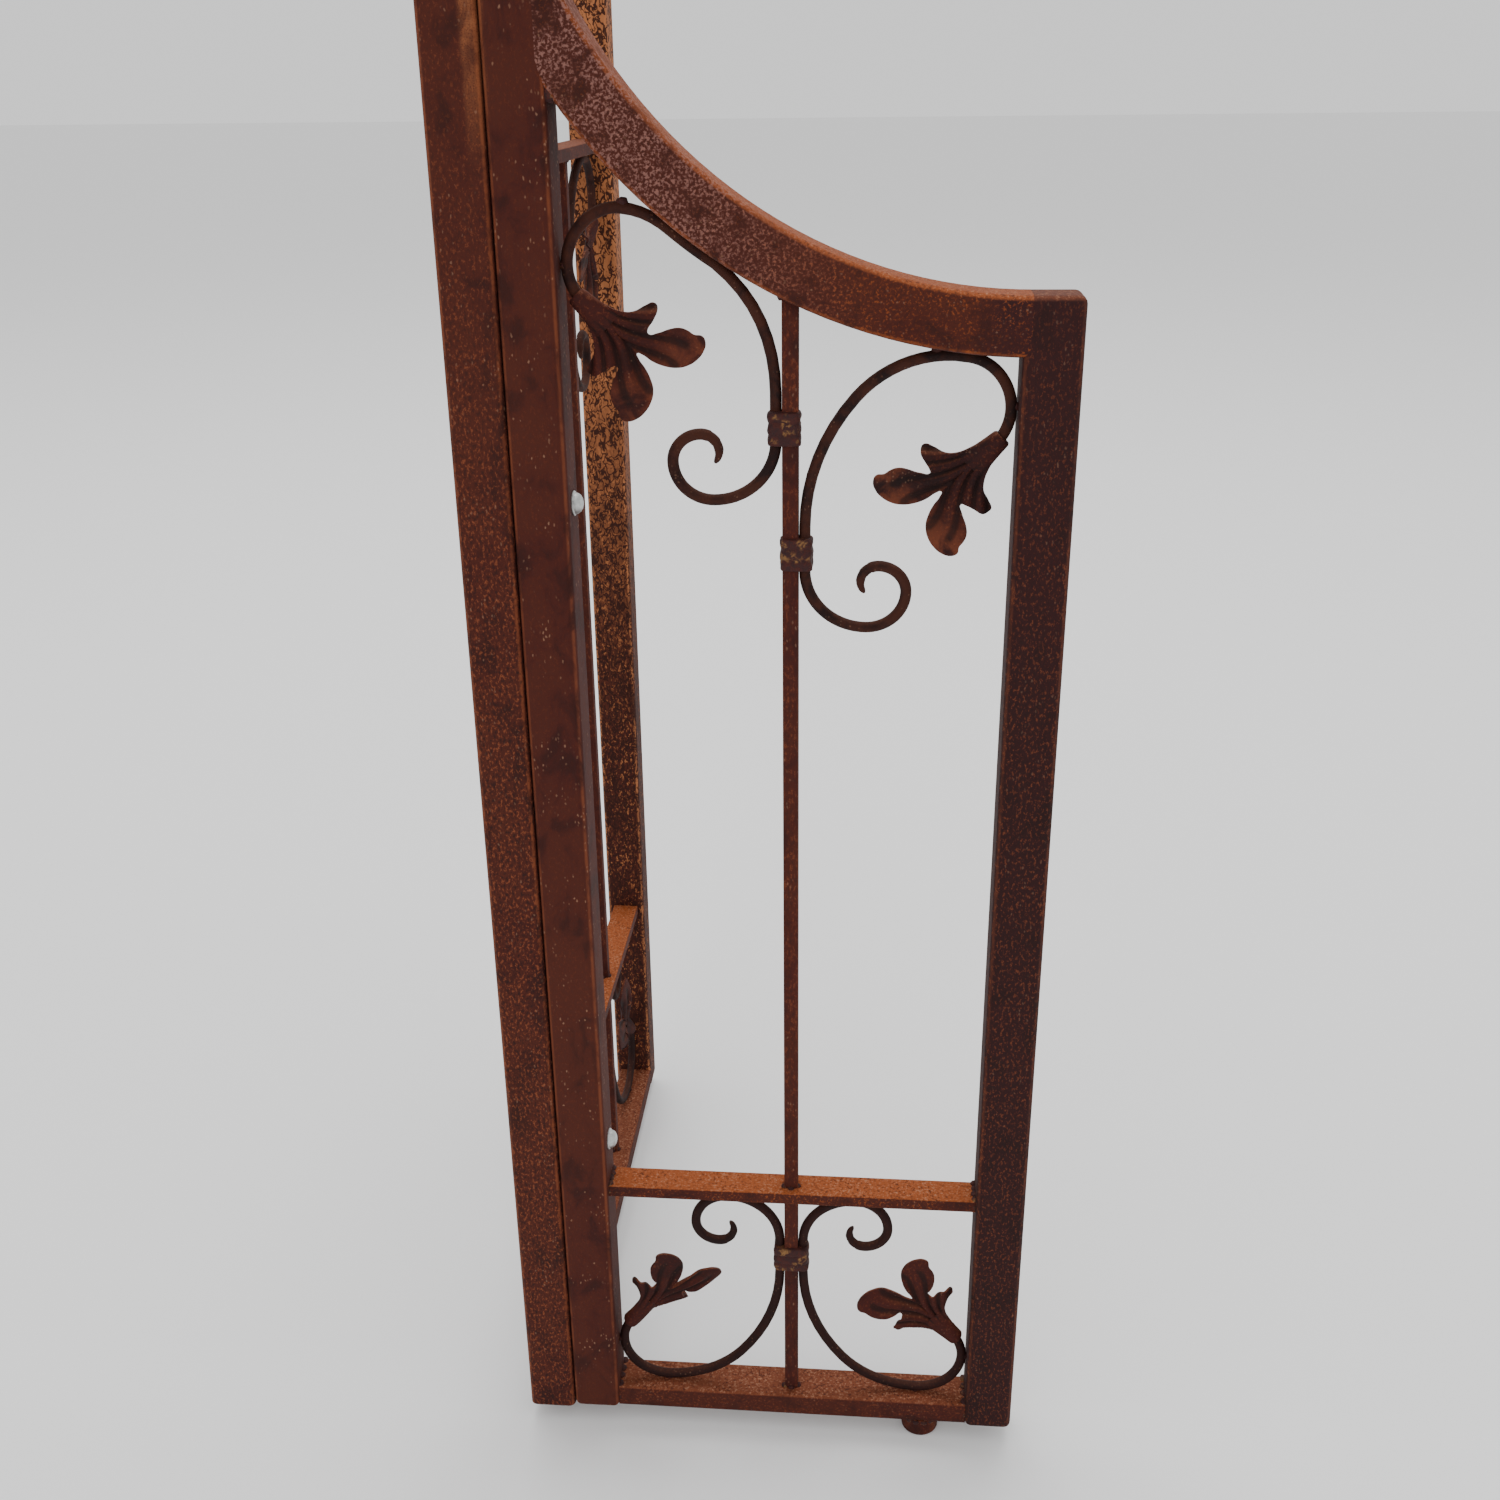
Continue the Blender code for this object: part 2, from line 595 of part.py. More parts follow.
def build_side_frame():
    """The right-hand frame that joins the front and rear legs."""
    front = box_tube("front_leg_r", (LEG_INNER_X, FRONT_Y, FOOT_HEIGHT), (SEAM_X, SIDE_Y0, LEG_TOP), 2)
    for level in BOLTS.values():
        drill(front, level)
    box_tube("rear_leg_r", (LEG_INNER_X, SIDE_Y1, FOOT_HEIGHT), (SEAM_X, -FRONT_Y, LEG_TOP), 2)
    near, far = SIDE_Y0 + JOINT_GAP, SIDE_Y1 - JOINT_GAP
    bottom = box_tube("side_bottom_rail_r", (LEG_INNER_X + BOTTOM_RAIL_RECESS, near, FOOT_HEIGHT),
                      (SEAM_X, far, RAIL_TOP), 1, BOTTOM_RAIL_WALL, RAIL_CORNER)
    for sign in (-1, 1):
        y = sign * (SIDE_Y1 - SIDE_FOOT_INSET)
        combine(bottom, foot(f"side_foot_{sign}", SIDE_X, y, FOOT_HEIGHT + BOTTOM_RAIL_WALL / 2), "UNION")

    bay = (SIDE_Y1 - SIDE_Y0 - 2 * ROD) / 3
    rods = {"front": SIDE_Y0 + bay + ROD / 2, "rear": SIDE_Y1 - bay - ROD / 2}
    flats = {"mid": MID_RAIL_BOTTOM, "top": FOOT_HEIGHT + SIDE_TOP_RAIL_LEVEL}
    for label, level in flats.items():
        rail = solid_bar(f"side_{label}_rail_r", (SIDE_X - FLAT_WIDTH / 2, near, level),
                         (SIDE_X + FLAT_WIDTH / 2, far, level + FLAT_HEIGHT))
        if label == "mid":
            for y in rods.values():
                rod_slot(rail, SIDE_X, y)
    for label, y in rods.items():
        solid_bar(f"side_rod_{label}_r", (SIDE_X - ROD / 2, y - ROD / 2, RAIL_TOP + JOINT_GAP),
                  (SIDE_X + ROD / 2, y + ROD / 2, flats["top"] - JOINT_GAP))

    bays = {"front": (SIDE_Y0, SIDE_Y0 + bay, False), "rear": (SIDE_Y1 - bay, SIDE_Y1, True)}
    for label, (start, end, flip) in bays.items():
        path, _, axis = scroll_path(*scroll_box(start, end, RAIL_TOP, flats["mid"]), flip, False)
        scroll(f"side_scroll_lower_{label}_r", path, axis, SIDE_PLANE)
        top = flats["top"]
        path, _, axis = scroll_path(*scroll_box(start, end, top - SCROLL_HEIGHT, top), flip, True)
        scroll(f"side_scroll_upper_{label}_r", path, axis, SIDE_PLANE)


def build_hoop(name, y):
    """Half-round top tube whose narrowed ends slide into the legs."""
    centre = Vector((0.0, y, LEG_TOP + JOINT_GAP))
    radius = LEG_INNER_X + TUBE / 2
    bm = bent_tube(centre, radius, 0.0, math.pi, HOOP_STEPS)
    shoulder = (TUBE / 2 - TUBE_WALL - SPIGOT_CLEARANCE) / (TUBE / 2)
    for side in (-1, 1):
        rim = [e for e in bm.edges
               if e.is_boundary and e.verts[0].co.x * side > 0
               and all(abs(v.co.z - centre.z) < 1e-6 for v in e.verts)]
        middle = Vector((side * radius, y, centre.z))
        for drop, scale in ((0.0, shoulder), (SPIGOT_LENGTH, 1.0)):
            grown = bmesh.ops.extrude_edge_only(bm, edges=rim)["geom"]
            verts = [g for g in grown if isinstance(g, bmesh.types.BMVert)]
            rim = [g for g in grown if isinstance(g, bmesh.types.BMEdge) and g.is_boundary]
            for v in verts:
                v.co.xy = middle.xy + (v.co.xy - middle.xy) * scale
                v.co.z -= drop
    obj = add_object(name, mesh_from(bm, name))
    tube_wall(obj, TUBE_WALL)


def build_top():
    build_hoop("hoop_front", FRONT_Y + TUBE / 2)
    build_hoop("hoop_rear", -FRONT_Y - TUBE / 2)
    radius = LEG_INNER_X + TUBE / 2
    half = Vector((FLAT_HEIGHT / 2, SIDE_Y1 - JOINT_GAP, FLAT_WIDTH / 2))
    for i in range(CROSS_BARS):
        degrees = CROSS_BAR_END_ANGLE + (180.0 - 2 * CROSS_BAR_END_ANGLE) * i / (CROSS_BARS - 1)
        angle = math.radians(degrees)
        bar = solid_bar(f"cross_bar_{i + 1}", -half, half)
        bar.location = (radius * math.cos(angle), 0.0, LEG_TOP + JOINT_GAP + radius * math.sin(angle))
        bar.rotation_euler = (0.0, -angle, 0.0)


def mirror_to_left(source):
    mesh = evaluated_mesh(source)
    mesh.transform(Matrix.Diagonal((-1.0, 1.0, 1.0, 1.0)))
    mesh.flip_normals()
    add_object(f"{source.name[:-2]}_l", mesh)


def shade_round_pieces():
    for obj in PARTS.objects:
        if obj.type == "MESH" and any(m.type == "SCREW" for m in obj.modifiers):
            obj.data.shade_smooth()


clear_scene()
PARTS = make_collection("garden_arch")
CUTTERS = make_collection("cutters")
FINISHES = {name: make_material(name) for name in MATERIALS}
build_wing()
build_side_frame()
for piece in list(PARTS.objects):
    mirror_to_left(piece)
build_top()
shade_round_pieces()
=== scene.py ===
"""Finish model of a rusted garden arch with trellis wings, built around its CAD frame."""

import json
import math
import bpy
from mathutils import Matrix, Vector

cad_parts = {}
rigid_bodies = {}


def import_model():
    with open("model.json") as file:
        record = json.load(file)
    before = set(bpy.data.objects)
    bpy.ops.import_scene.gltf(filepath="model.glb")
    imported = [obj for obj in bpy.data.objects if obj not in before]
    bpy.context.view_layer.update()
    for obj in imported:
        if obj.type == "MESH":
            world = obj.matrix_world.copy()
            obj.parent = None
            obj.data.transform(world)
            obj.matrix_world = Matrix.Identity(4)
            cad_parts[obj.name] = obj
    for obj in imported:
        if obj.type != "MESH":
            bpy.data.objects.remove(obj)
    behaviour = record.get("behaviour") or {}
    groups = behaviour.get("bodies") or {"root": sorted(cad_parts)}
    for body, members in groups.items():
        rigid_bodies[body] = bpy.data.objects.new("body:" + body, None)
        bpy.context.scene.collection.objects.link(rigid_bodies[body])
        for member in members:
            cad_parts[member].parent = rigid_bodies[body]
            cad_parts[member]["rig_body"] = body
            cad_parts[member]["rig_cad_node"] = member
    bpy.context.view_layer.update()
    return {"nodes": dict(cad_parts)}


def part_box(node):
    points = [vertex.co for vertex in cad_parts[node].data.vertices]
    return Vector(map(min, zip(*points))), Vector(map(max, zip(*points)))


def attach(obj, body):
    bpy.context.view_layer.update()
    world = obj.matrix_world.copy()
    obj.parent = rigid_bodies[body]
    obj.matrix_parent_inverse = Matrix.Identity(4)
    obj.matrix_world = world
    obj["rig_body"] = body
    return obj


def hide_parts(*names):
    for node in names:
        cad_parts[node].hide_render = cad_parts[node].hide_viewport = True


bl_info = {
    "name": "Rusted garden arch",
    "version": (1, 0, 0),
    "blender": (4, 5, 0),
    "location": "3D View > Sidebar > Garden arch",
    "description": "Bent tubes, scrollwork, leaves, collars, welds and rust of a garden arch",
    "category": "Add Mesh",
}

import bmesh
import bpy
from bpy.props import FloatProperty, FloatVectorProperty, IntProperty, PointerProperty
from mathutils import Matrix, Vector, noise

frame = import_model()
NODES = sorted(frame["nodes"])

# One scroll from its leaf to its curl: (radius, turn in degrees); no turn is a straight run
SCROLL_HEADING = 225.0
SCROLL_BENDS = (
    (0.026, 45.0), (0.0275, 90.0), (0.061, 50.0), (0.105, 40.0), (0.024, 0.0),
    (0.031, 90.0), (0.020, 90.0), (0.014, 90.0), (0.009, 90.0), (0.008, 30.0),
)
BAR_SIDES = 14
# Half of a leaf's edge, along its axis and out from it, for a leaf of length 1
LEAF_HALF = (
    (0.00, 0.080), (0.07, 0.095), (0.14, 0.115), (0.25, 0.165), (0.32, 0.235), (0.352, 0.33),
    (0.385, 0.395), (0.44, 0.385), (0.48, 0.30), (0.50, 0.215), (0.528, 0.185), (0.575, 0.25),
    (0.62, 0.345), (0.675, 0.41), (0.735, 0.437), (0.79, 0.447), (0.845, 0.482), (0.90, 0.462),
    (0.94, 0.395), (0.95, 0.31), (0.93, 0.22), (0.88, 0.14), (0.80, 0.082), (0.70, 0.042),
    (0.61, 0.025), (0.57, 0.0),
)
# How far behind the leaf's foot its flutes meet, in leaf lengths; angles in degrees
FAN_BACK = 0.12
LOBE_ANGLE = 24.0
FLUTE_ANGLE = 11.0
FLUTE_DEPTH = 0.042
FOLD_WIDTH = 0.006
LEAF_MARKS = "leaf_marks"
FLAKE_SCALE = 620.0
# Turn from one weld lump to the next about Z and X, and how deep a lump sits
LUMP_TURNS = (2.4, 1.3)
LUMP_SINK = 0.0012
FOOT_LUMPS = 14
CURVED_RAIL_TURN = math.radians(95.0)
CURVED_RAIL_STEPS = 44
# Share of a collar's box that its first section fills
COLLAR_FILL = 0.79
# A collar from foot to top: (share of its height, swell from valley 0 to ridge 1)
COLLAR_PROFILE = (
    (0.04, 0.7), (0.15, 1.0), (0.26, 0.7), (0.32, 0.0), (0.37, 0.7), (0.49, 1.0), (0.60, 0.7),
    (0.66, 0.0), (0.71, 0.7), (0.84, 1.0), (0.95, 0.7), (1.0, -0.6),
)


# ---------------------------------------------------------------- settings

def length(name, default, text):
    return FloatProperty(name=name, description=text, default=default, unit="LENGTH", precision=4)


def colour(name, default, text):
    return FloatVectorProperty(name=name, description=text, default=default, size=3,
                               subtype="COLOR", min=0.0, max=1.0)


class ArchSizes(bpy.types.PropertyGroup):
    tube_corner: length("Tube corner", 0.0042, "Outer corner radius of the square tubes")
    rail_corner: length("Rail corner", 0.0022, "Corner radius of the low bottom rails")
    flat_corner: length("Flat corner", 0.0009, "Edge rounding of the flat bars and square rods")
    weld_reach: length("Weld reach", 0.0008, "How far a rail or rod runs past its CAD ends")
    arc_radius: length("Arc radius", 0.270, "Centre-line radius of the wing's curved rail")
    arc_inset: length("Arc inset", 0.025, "From the wing's outer edge to the arc's centre")
    bar: length("Scroll bar", 0.0058, "Diameter of the round scroll bar")
    leaf: length("Leaf", 0.060, "Length of a leaf from its socket to its tips")
    leaf_sheet: length("Leaf sheet", 0.0013, "Thickness of the leaf's sheet")
    leaf_twist: FloatProperty(name="Leaf twist", default=math.radians(46.0), subtype="ANGLE",
                              description="Fold of the lower inner leaves about their own axis")
    press_spread: IntProperty(name="Press spread", default=14, min=0,
                              description="How gently a bar bends away from the curved rail")
    weld: length("Weld bead", 0.0026, "Radius of a weld bead")
    nut_height: length("Nut height", 0.0065, "Height of the nuts inside the legs")
    thread_end: length("Thread end", 0.002, "Thread that shows past a nut")
    hoop_steps: IntProperty(name="Hoop steps", description="Steps round the half-round top",
                            default=72, min=8)


class ArchColours(bpy.types.PropertyGroup):
    maroon: colour("Maroon rust", (0.0500, 0.0084, 0.0054), "Dense dark rust of the front tubes")
    brown: colour("Brown rust", (0.0660, 0.0140, 0.0068), "Ordinary brown rust")
    plum: colour("Plum rust", (0.0310, 0.0068, 0.0068), "Purple-brown rust of the outer stiles")
    plum_dark: colour("Dark plum rust", (0.0200, 0.0050, 0.0050), "Darkest rust of the scrollwork")
    # Russet, orange and tan are each a rust's bright tone: real powdery grains, and also the
    # painted highlight on upward faces and rounded corners.
    russet: colour("Russet rust", (0.1900, 0.0500, 0.0200), "Red-brown grains")
    orange: colour("Orange rust", (0.3000, 0.0700, 0.0150), "Fresh powdery rust")
    tan: colour("Tan rust", (0.4200, 0.1500, 0.0560), "Light powder of the rear legs")
    # Umber is also the painted shade on the downward faces of the bolts and nuts.
    umber: colour("Umber", (0.0260, 0.0060, 0.0036), "Dark crawling lines and grime")
    soot: colour("Scale", (0.0090, 0.0036, 0.0032), "Dark mill scale left in pits")
    pale: colour("Pale flecks", (0.3600, 0.1900, 0.1150), "Pale dusty flecks")
    # Painted sheen: this pinkish tone stands for light reflected on the curved rails, laid on as
    # grains.
    lilac_sheen: colour("Lilac dust", (0.2400, 0.1250, 0.1080), "Pinkish grain on the curved rails")
    ochre: colour("Ochre", (0.2600, 0.1300, 0.0400), "Yellow worn patches")
    zinc: colour("Zinc", (0.560, 0.5700, 0.5600), "Plating of the bolts")


class ArchStage(bpy.types.PropertyGroup):
    eye: FloatVectorProperty(name="Eye", description="Where the camera stands", size=3,
                             default=(0.8234, -1.0031, 0.8403), subtype="XYZ", unit="LENGTH")
    tilt: FloatProperty(name="Tilt", description="Downward tilt of the camera",
                        default=math.radians(23.12), subtype="ANGLE")
    turn: FloatProperty(name="Turn", description="Turn of the camera to the left",
                        default=math.radians(4.96), subtype="ANGLE")
    roll: FloatProperty(name="Roll", description="Roll of the camera",
                        default=math.radians(-0.69), subtype="ANGLE")
    lens: FloatProperty(name="Lens", description="Focal length in millimetres on a 36 mm sensor",
                        default=38.34)
    floor: colour("Floor", (0.88, 0.88, 0.88), "Colour of the plain floor")


def colours():
    return bpy.context.scene.arch_colours


# ---------------------------------------------------------------- shader maths

class Sock:
    """An output socket that answers to arithmetic by adding Math nodes."""

    def __init__(self, graph, socket):
        self.graph = graph
        self.socket = socket

    def _math(self, operation, first, second=0.0):
        return self.graph.node("ShaderNodeMath", {"operation": operation}, {0: first, 1: second})

    def __add__(self, other):
        return self._math("ADD", self, other)

    __radd__ = __add__

    def __sub__(self, other):
        return self._math("SUBTRACT", self, other)

    def __rsub__(self, other):
        return self._math("SUBTRACT", other, self)

    def __mul__(self, other):
        return self._math("MULTIPLY", self, other)

    __rmul__ = __mul__

    def least(self, other):
        return self._math("MINIMUM", self, other)

    def most(self, other):
        return self._math("MAXIMUM", self, other)

    def between(self, low, high):
        """0 below low, 1 above high, and a smooth rise between them."""
        return self.graph.node(
            "ShaderNodeMapRange", {"interpolation_type": "SMOOTHSTEP"},
            {"Value": self, "From Min": low, "From Max": high},
        )


class Graph:
    """A material's node tree, filled by one method."""

    def __init__(self, name):
        self.material = bpy.data.materials.new(name)
        self.material.use_nodes = True
        self.tree = self.material.node_tree
        self.shader = self.tree.nodes["Principled BSDF"]

    def node(self, kind, settings=None, sockets=None, out=0):
        made = self.tree.nodes.new(kind)
        for key, value in (settings or {}).items():
            setattr(made, key, value)
        for key, value in (sockets or {}).items():
            self.feed(made.inputs[key], value)
        return Sock(self, made.outputs[out])

    def feed(self, target, value):
        if isinstance(value, Sock):
            self.tree.links.new(value.socket, target)
        elif target.type == "RGBA" and len(value) == 3:
            target.default_value = (*value, 1.0)
        else:
            target.default_value = value

    def mix(self, amount, first, second):
        return self.node("ShaderNodeMix", {"data_type": "RGBA"},
                         {0: amount, 6: first, 7: second}, out=2)

    def place(self, scale=(1.0, 1.0, 1.0), shift=(0.0, 0.0, 0.0)):
        here = self.node("ShaderNodeTexCoord", out="Object")
        return self.node("ShaderNodeMapping", {},
                         {"Vector": here, "Scale": scale, "Location": shift})

    def noise(self, vector, scale, detail=3.0, roughness=0.55, warp=0.0):
        return self.node("ShaderNodeTexNoise", {}, {
            "Vector": vector, "Scale": scale, "Detail": detail,
            "Roughness": roughness, "Distortion": warp})

    def cells(self, vector, scale, out="Distance"):
        return self.node("ShaderNodeTexVoronoi", {}, {"Vector": vector, "Scale": scale}, out=out)

    def split(self, whole, channel="Red"):
        return self.node("ShaderNodeSeparateColor", {}, {"Color": whole}, out=channel)

    def facing(self, direction):
        """How much the surface faces a direction of the piece, from -1 to 1."""
        normal = self.node("ShaderNodeTexCoord", out="Normal")
        return self.node("ShaderNodeVectorMath", {"operation": "DOT_PRODUCT"},
                         {0: normal, 1: direction}, out="Value")

    def part_of(self, output, axis):
        """One axis of the piece's coordinates or normal."""
        whole = self.node("ShaderNodeTexCoord", out=output)
        return self.node("ShaderNodeSeparateXYZ", {}, {0: whole}, out=axis)

    def size_of(self, value):
        return self.node("ShaderNodeMath", {"operation": "ABSOLUTE"}, {0: value})

    def height(self):
        return self.part_of("Object", "Z")

    def across(self):
        """Distance from the arch's middle."""
        return self.size_of(self.part_of("Object", "X"))

    def rounded(self):
        """0 on the flat faces, more on rounded corners."""
        x, y, z = (self.size_of(self.part_of("Normal", axis)) for axis in "XYZ")
        return 1.0 - x.most(y).most(z)

    def jitter(self, vector, scale, amount):
        """The vector, pushed about by a fine noise."""
        push = self.node("ShaderNodeTexNoise", {},
                         {"Vector": vector, "Scale": scale, "Detail": 1.0}, out="Color")
        push = self.node("ShaderNodeVectorMath", {"operation": "SCALE"}, {0: push, "Scale": amount})
        return self.node("ShaderNodeVectorMath", {"operation": "ADD"}, {0: vector, 1: push})

    def finish(self, colour_, roughness, metallic, height, depth, strength):
        bump = self.node("ShaderNodeBump", {},
                         {"Height": height, "Distance": depth, "Strength": strength}, out="Normal")
        self.feed(self.shader.inputs["Base Color"], colour_)
        self.feed(self.shader.inputs["Roughness"], roughness)
        self.feed(self.shader.inputs["Metallic"], metallic)
        self.feed(self.shader.inputs["Normal"], bump)
        return self.material


def rust(name, base, second, bright, run=(1.0, 1.0, 1.0), glow=0.5, flecks=0.5, speckle=0.3,
         worms=0.0, mottle=0.5, edge=0.0, floor_speckle=0.0, seam=0.0, upper=0.0, ends=0.0,
         steep=0.0, leaf=0.0, shift=(0.0, 0.0, 0.0)):
    """Layered rust.

    base and second are the two main tones and bright the powdery one, also laid on as a painted
    highlight; run stretches the grain. glow is how far upward faces take the bright tone, a
    painted highlight of the light from above, flecks the share of small pale flakes, speckle
    the dense powdery grain, worms the dark crawling lines, mottle the share of large patches,
    edge the lighter rounded corners, partly wear and partly painted highlight, floor_speckle
    more grain near the floor, seam the ochre along the joint between leg and wing, upper how
    far the upper part turns lighter, towards tan, ends the plum tone beside the outer stiles,
    steep the pinkish grains on a curved rail's steep part, a painted sheen, and leaf the dark
    grooves and bright tips of the leaves.
    """
    c = colours()
    g = Graph(name)
    here = g.place(shift=shift)
    drawn = g.place(scale=run, shift=shift)
    cloud = g.noise(drawn, 8.0, 3.0)
    patch = g.noise(drawn, 55.0, 5.0, 0.62, 0.5)
    crumb = g.noise(drawn, 620.0, 3.0, 0.6, 0.3)
    dust = g.noise(here, 1300.0, 2.0, 0.6)
    # up picks the faces that look up, for the painted highlight laid on them below.
    up = g.facing((0.0, 0.0, 1.0)).between(0.3, 0.95)

    tone = g.mix(cloud.between(0.36, 0.64) * mottle, base, second)
    tone = g.mix(patch.between(0.40, 0.62) * 0.45, tone, second)
    tone = g.mix(patch.between(0.50, 0.34) * 0.45, tone, c.soot)
    # upper makes the legs lighter towards the top, turning them tan.
    if upper:
        lighter_above = g.height().between(0.38, 0.72) * (0.75 + patch.between(0.35, 0.6) * 0.25)
        tone = g.mix(lighter_above * upper, tone, c.tan)
    if ends:
        joint = g.across().between(0.862, 0.884) * (0.7 + patch.between(0.4, 0.55) * 0.3)
        tone = g.mix(joint * ends, tone, c.plum)
    # Painted highlight: upward faces take the bright tone, as the light from above lights them.
    lit = up * glow
    tone = g.mix(lit, tone, bright)
    # Rounded corners take the bright tone in patches: partly wear, partly painted highlight along
    # the corners.
    if edge:
        rubbed = g.rounded().between(0.06, 0.24) * patch.between(0.3, 0.6)
        tone = g.mix(rubbed * edge, tone, bright)
    # Upward faces get denser grains here and paler grains in the mix below, which is more painted
    # highlight.
    dense = speckle * (0.35 + patch.between(0.38, 0.6)) + lit * 0.6
    if floor_speckle:
        dense = dense + floor_speckle * g.height().between(0.95, 0.45)
    grains = crumb.between(0.52, 0.64) * dust.between(0.34, 0.56)
    tone = g.mix((grains * dense).least(1.0), tone, g.mix(up * 0.6, bright, c.pale))
    tone = g.mix(crumb.between(0.46, 0.36) * dense * 0.6, tone, c.soot)
    # Painted sheen: pinkish grains on the steep part of a curved rail stand for light reflected
    # there.
    if steep:
        sheen_grit = crumb.between(0.47, 0.60) * patch.between(0.38, 0.52)
        tone = g.mix(sheen_grit * g.across().between(0.82, 0.70) * steep, tone, c.lilac_sheen)
    if worms:
        maze = g.noise(g.place(scale=(1.0, 1.0, 0.6), shift=shift), 270.0, 2.0, 0.5, 0.8)
        crawl = g.size_of(maze - 0.5).between(0.072, 0.036)
        tone = g.mix(crawl * worms, tone, c.umber)
    if seam:
        near = g.across().between(0.6200, 0.6235) * g.across().between(0.6345, 0.6300)
        run_down = near * g.height().between(0.78, 0.96) * (0.35 + patch.between(0.42, 0.56) * 0.65)
        tone = g.mix(run_down * (0.4 + dust.between(0.36, 0.5) * 0.6) * seam, tone, c.tan)
    if leaf:
        marks = g.node("ShaderNodeAttribute", {"attribute_name": LEAF_MARKS}, out="Color")
        tips = g.split(marks, "Green") * g.height().between(0.35, 0.60)
        tone = g.mix(tips * patch.between(0.36, 0.60) * 0.55 * leaf, tone, bright)
        tone = g.mix(g.split(marks).between(0.45, 0.95) * 0.7 * leaf, tone, c.soot)
    jittered = g.jitter(drawn, 700.0, 0.0012)
    chance = g.split(g.cells(jittered, FLAKE_SCALE, out="Color"))
    kept = chance.between(0.80, 0.86) * g.noise(drawn, 60.0, 2.0).between(0.46, 0.60)
    flake = g.cells(jittered, FLAKE_SCALE).between(0.44, 0.16) * kept * flecks
    tone = g.mix(flake * 0.5, tone, c.pale)
    height = crumb * 0.5 + dust * 0.25 + patch * 0.8 - flake * 0.2
    g.shader.inputs["Specular IOR Level"].default_value = 0.2
    return g.finish(tone, (0.68 + crumb * 0.28).least(1.0), 0.0, height, 0.0006, 0.7)


def worn_rust(name):
    """Dark rust of the collars and welds, with yellow-grey patches rubbed on their ridges."""
    c = colours()
    g = Graph(name)
    here = g.place()
    patch = g.noise(here, 260.0, 4.0, 0.6, 0.6)
    fine = g.noise(here, 1100.0, 3.0)
    rub = g.noise(here, 120.0, 3.0, 0.5)
    front = g.facing((0.0, -1.0, 0.0)).between(0.2, 0.9)
    tone = g.mix(patch.between(0.4, 0.62), c.plum, c.maroon)
    bare = rub.between(0.5, 0.62) * patch.between(0.45, 0.6) * (0.2 + 0.5 * front)
    tone = g.mix(bare, tone, c.ochre)
    tone = g.mix(fine.between(0.5, 0.32) * 0.6, tone, c.soot)
    g.shader.inputs["Specular IOR Level"].default_value = 0.3
    return g.finish(tone, 0.6 + fine * 0.3, 0.0, patch + fine * 0.5, 0.0008, 0.8)


def zinc(name):
    """Dull plating with fine scratches, dark stains, and painted shade on the faces that look down.
    """
    c = colours()
    g = Graph(name)
    here = g.place()
    dull = g.noise(here, 400.0, 4.0, 0.6)
    fine = g.noise(g.place(scale=(1.0, 1.0, 6.0)), 1600.0, 2.0)
    stain = g.noise(here, 160.0, 3.0, 0.6, 0.5)
    under = g.facing((0.0, 0.0, -1.0)).between(0.1, 0.7)
    tone = g.mix(dull.between(0.35, 0.7) * 0.5, c.zinc, (0.30, 0.31, 0.31))
    # Umber here is partly real stains from the noise and partly painted shade on the faces that
    # look down.
    tone = g.mix((stain.between(0.58, 0.74) * 0.6 + under * 0.8).least(1.0), tone, c.umber)
    return g.finish(tone, 0.3 + dull * 0.3, 0.6, dull * 0.6 + fine * 0.4, 0.0003, 0.5)


# Each kind of rust: base, second and bright tone, then what rust() is told
RUSTS = {
    "leg_rust": ("maroon", "brown", "russet", dict(
        run=(1.0, 1.0, 0.6), glow=0.55, flecks=0.6, speckle=0.25, edge=0.8, floor_speckle=0.8,
        seam=0.9)),
    "stile_rust": ("maroon", "brown", "russet", dict(
        run=(1.0, 1.0, 0.6), glow=0.55, flecks=0.9, speckle=0.12, edge=0.7, seam=0.5,
        shift=(0.0, 0.3, 0.0))),
    "plum_rust": ("plum", "plum_dark", "russet", dict(
        run=(1.0, 1.0, 0.6), glow=0.5, flecks=0.35, speckle=0.12, edge=0.3, floor_speckle=0.45,
        shift=(0.2, 0.0, 0.5))),
    "rear_rust": ("brown", "maroon", "tan", dict(
        run=(1.0, 1.0, 0.55), glow=0.5, flecks=0.0, speckle=0.7, worms=0.95, mottle=0.7,
        edge=0.9, upper=0.9, shift=(0.3, 0.1, 0.0))),
    "arc_rust": ("maroon", "brown", "orange", dict(
        glow=0.75, flecks=0.5, speckle=0.45, mottle=0.8, edge=0.5, ends=0.95, steep=0.6,
        shift=(0.7, 0.2, 0.4))),
    "rail_rust": ("maroon", "brown", "orange", dict(
        glow=0.85, flecks=0.5, speckle=0.5, edge=0.3, shift=(0.4, 0.0, 0.2))),
    "base_rust": ("maroon", "brown", "russet", dict(
        glow=0.75, flecks=0.4, speckle=0.5, edge=0.3, shift=(0.1, 0.5, 0.0))),
    "rod_rust": ("maroon", "brown", "russet", dict(
        run=(1.0, 1.0, 0.5), glow=0.6, flecks=0.5, speckle=0.4, edge=0.3,
        shift=(0.0, 0.0, 0.6))),
    "scroll_rust": ("plum_dark", "maroon", "russet", dict(
        glow=0.45, flecks=0.4, speckle=0.25, mottle=0.9, leaf=1.0)),
}


def finish_named(name):
    """The material of that name, made the first time it is asked for."""
    found = bpy.data.materials.get(name)
    if found:
        return found
    if name in RUSTS:
        *tones, told = RUSTS[name]
        return rust(name, *(getattr(colours(), tone) for tone in tones), **told)
    return zinc(name) if name == "bolt_zinc" else worn_rust(name)


# ---------------------------------------------------------------- modelling by hand

def sizes():
    return bpy.context.scene.arch_sizes


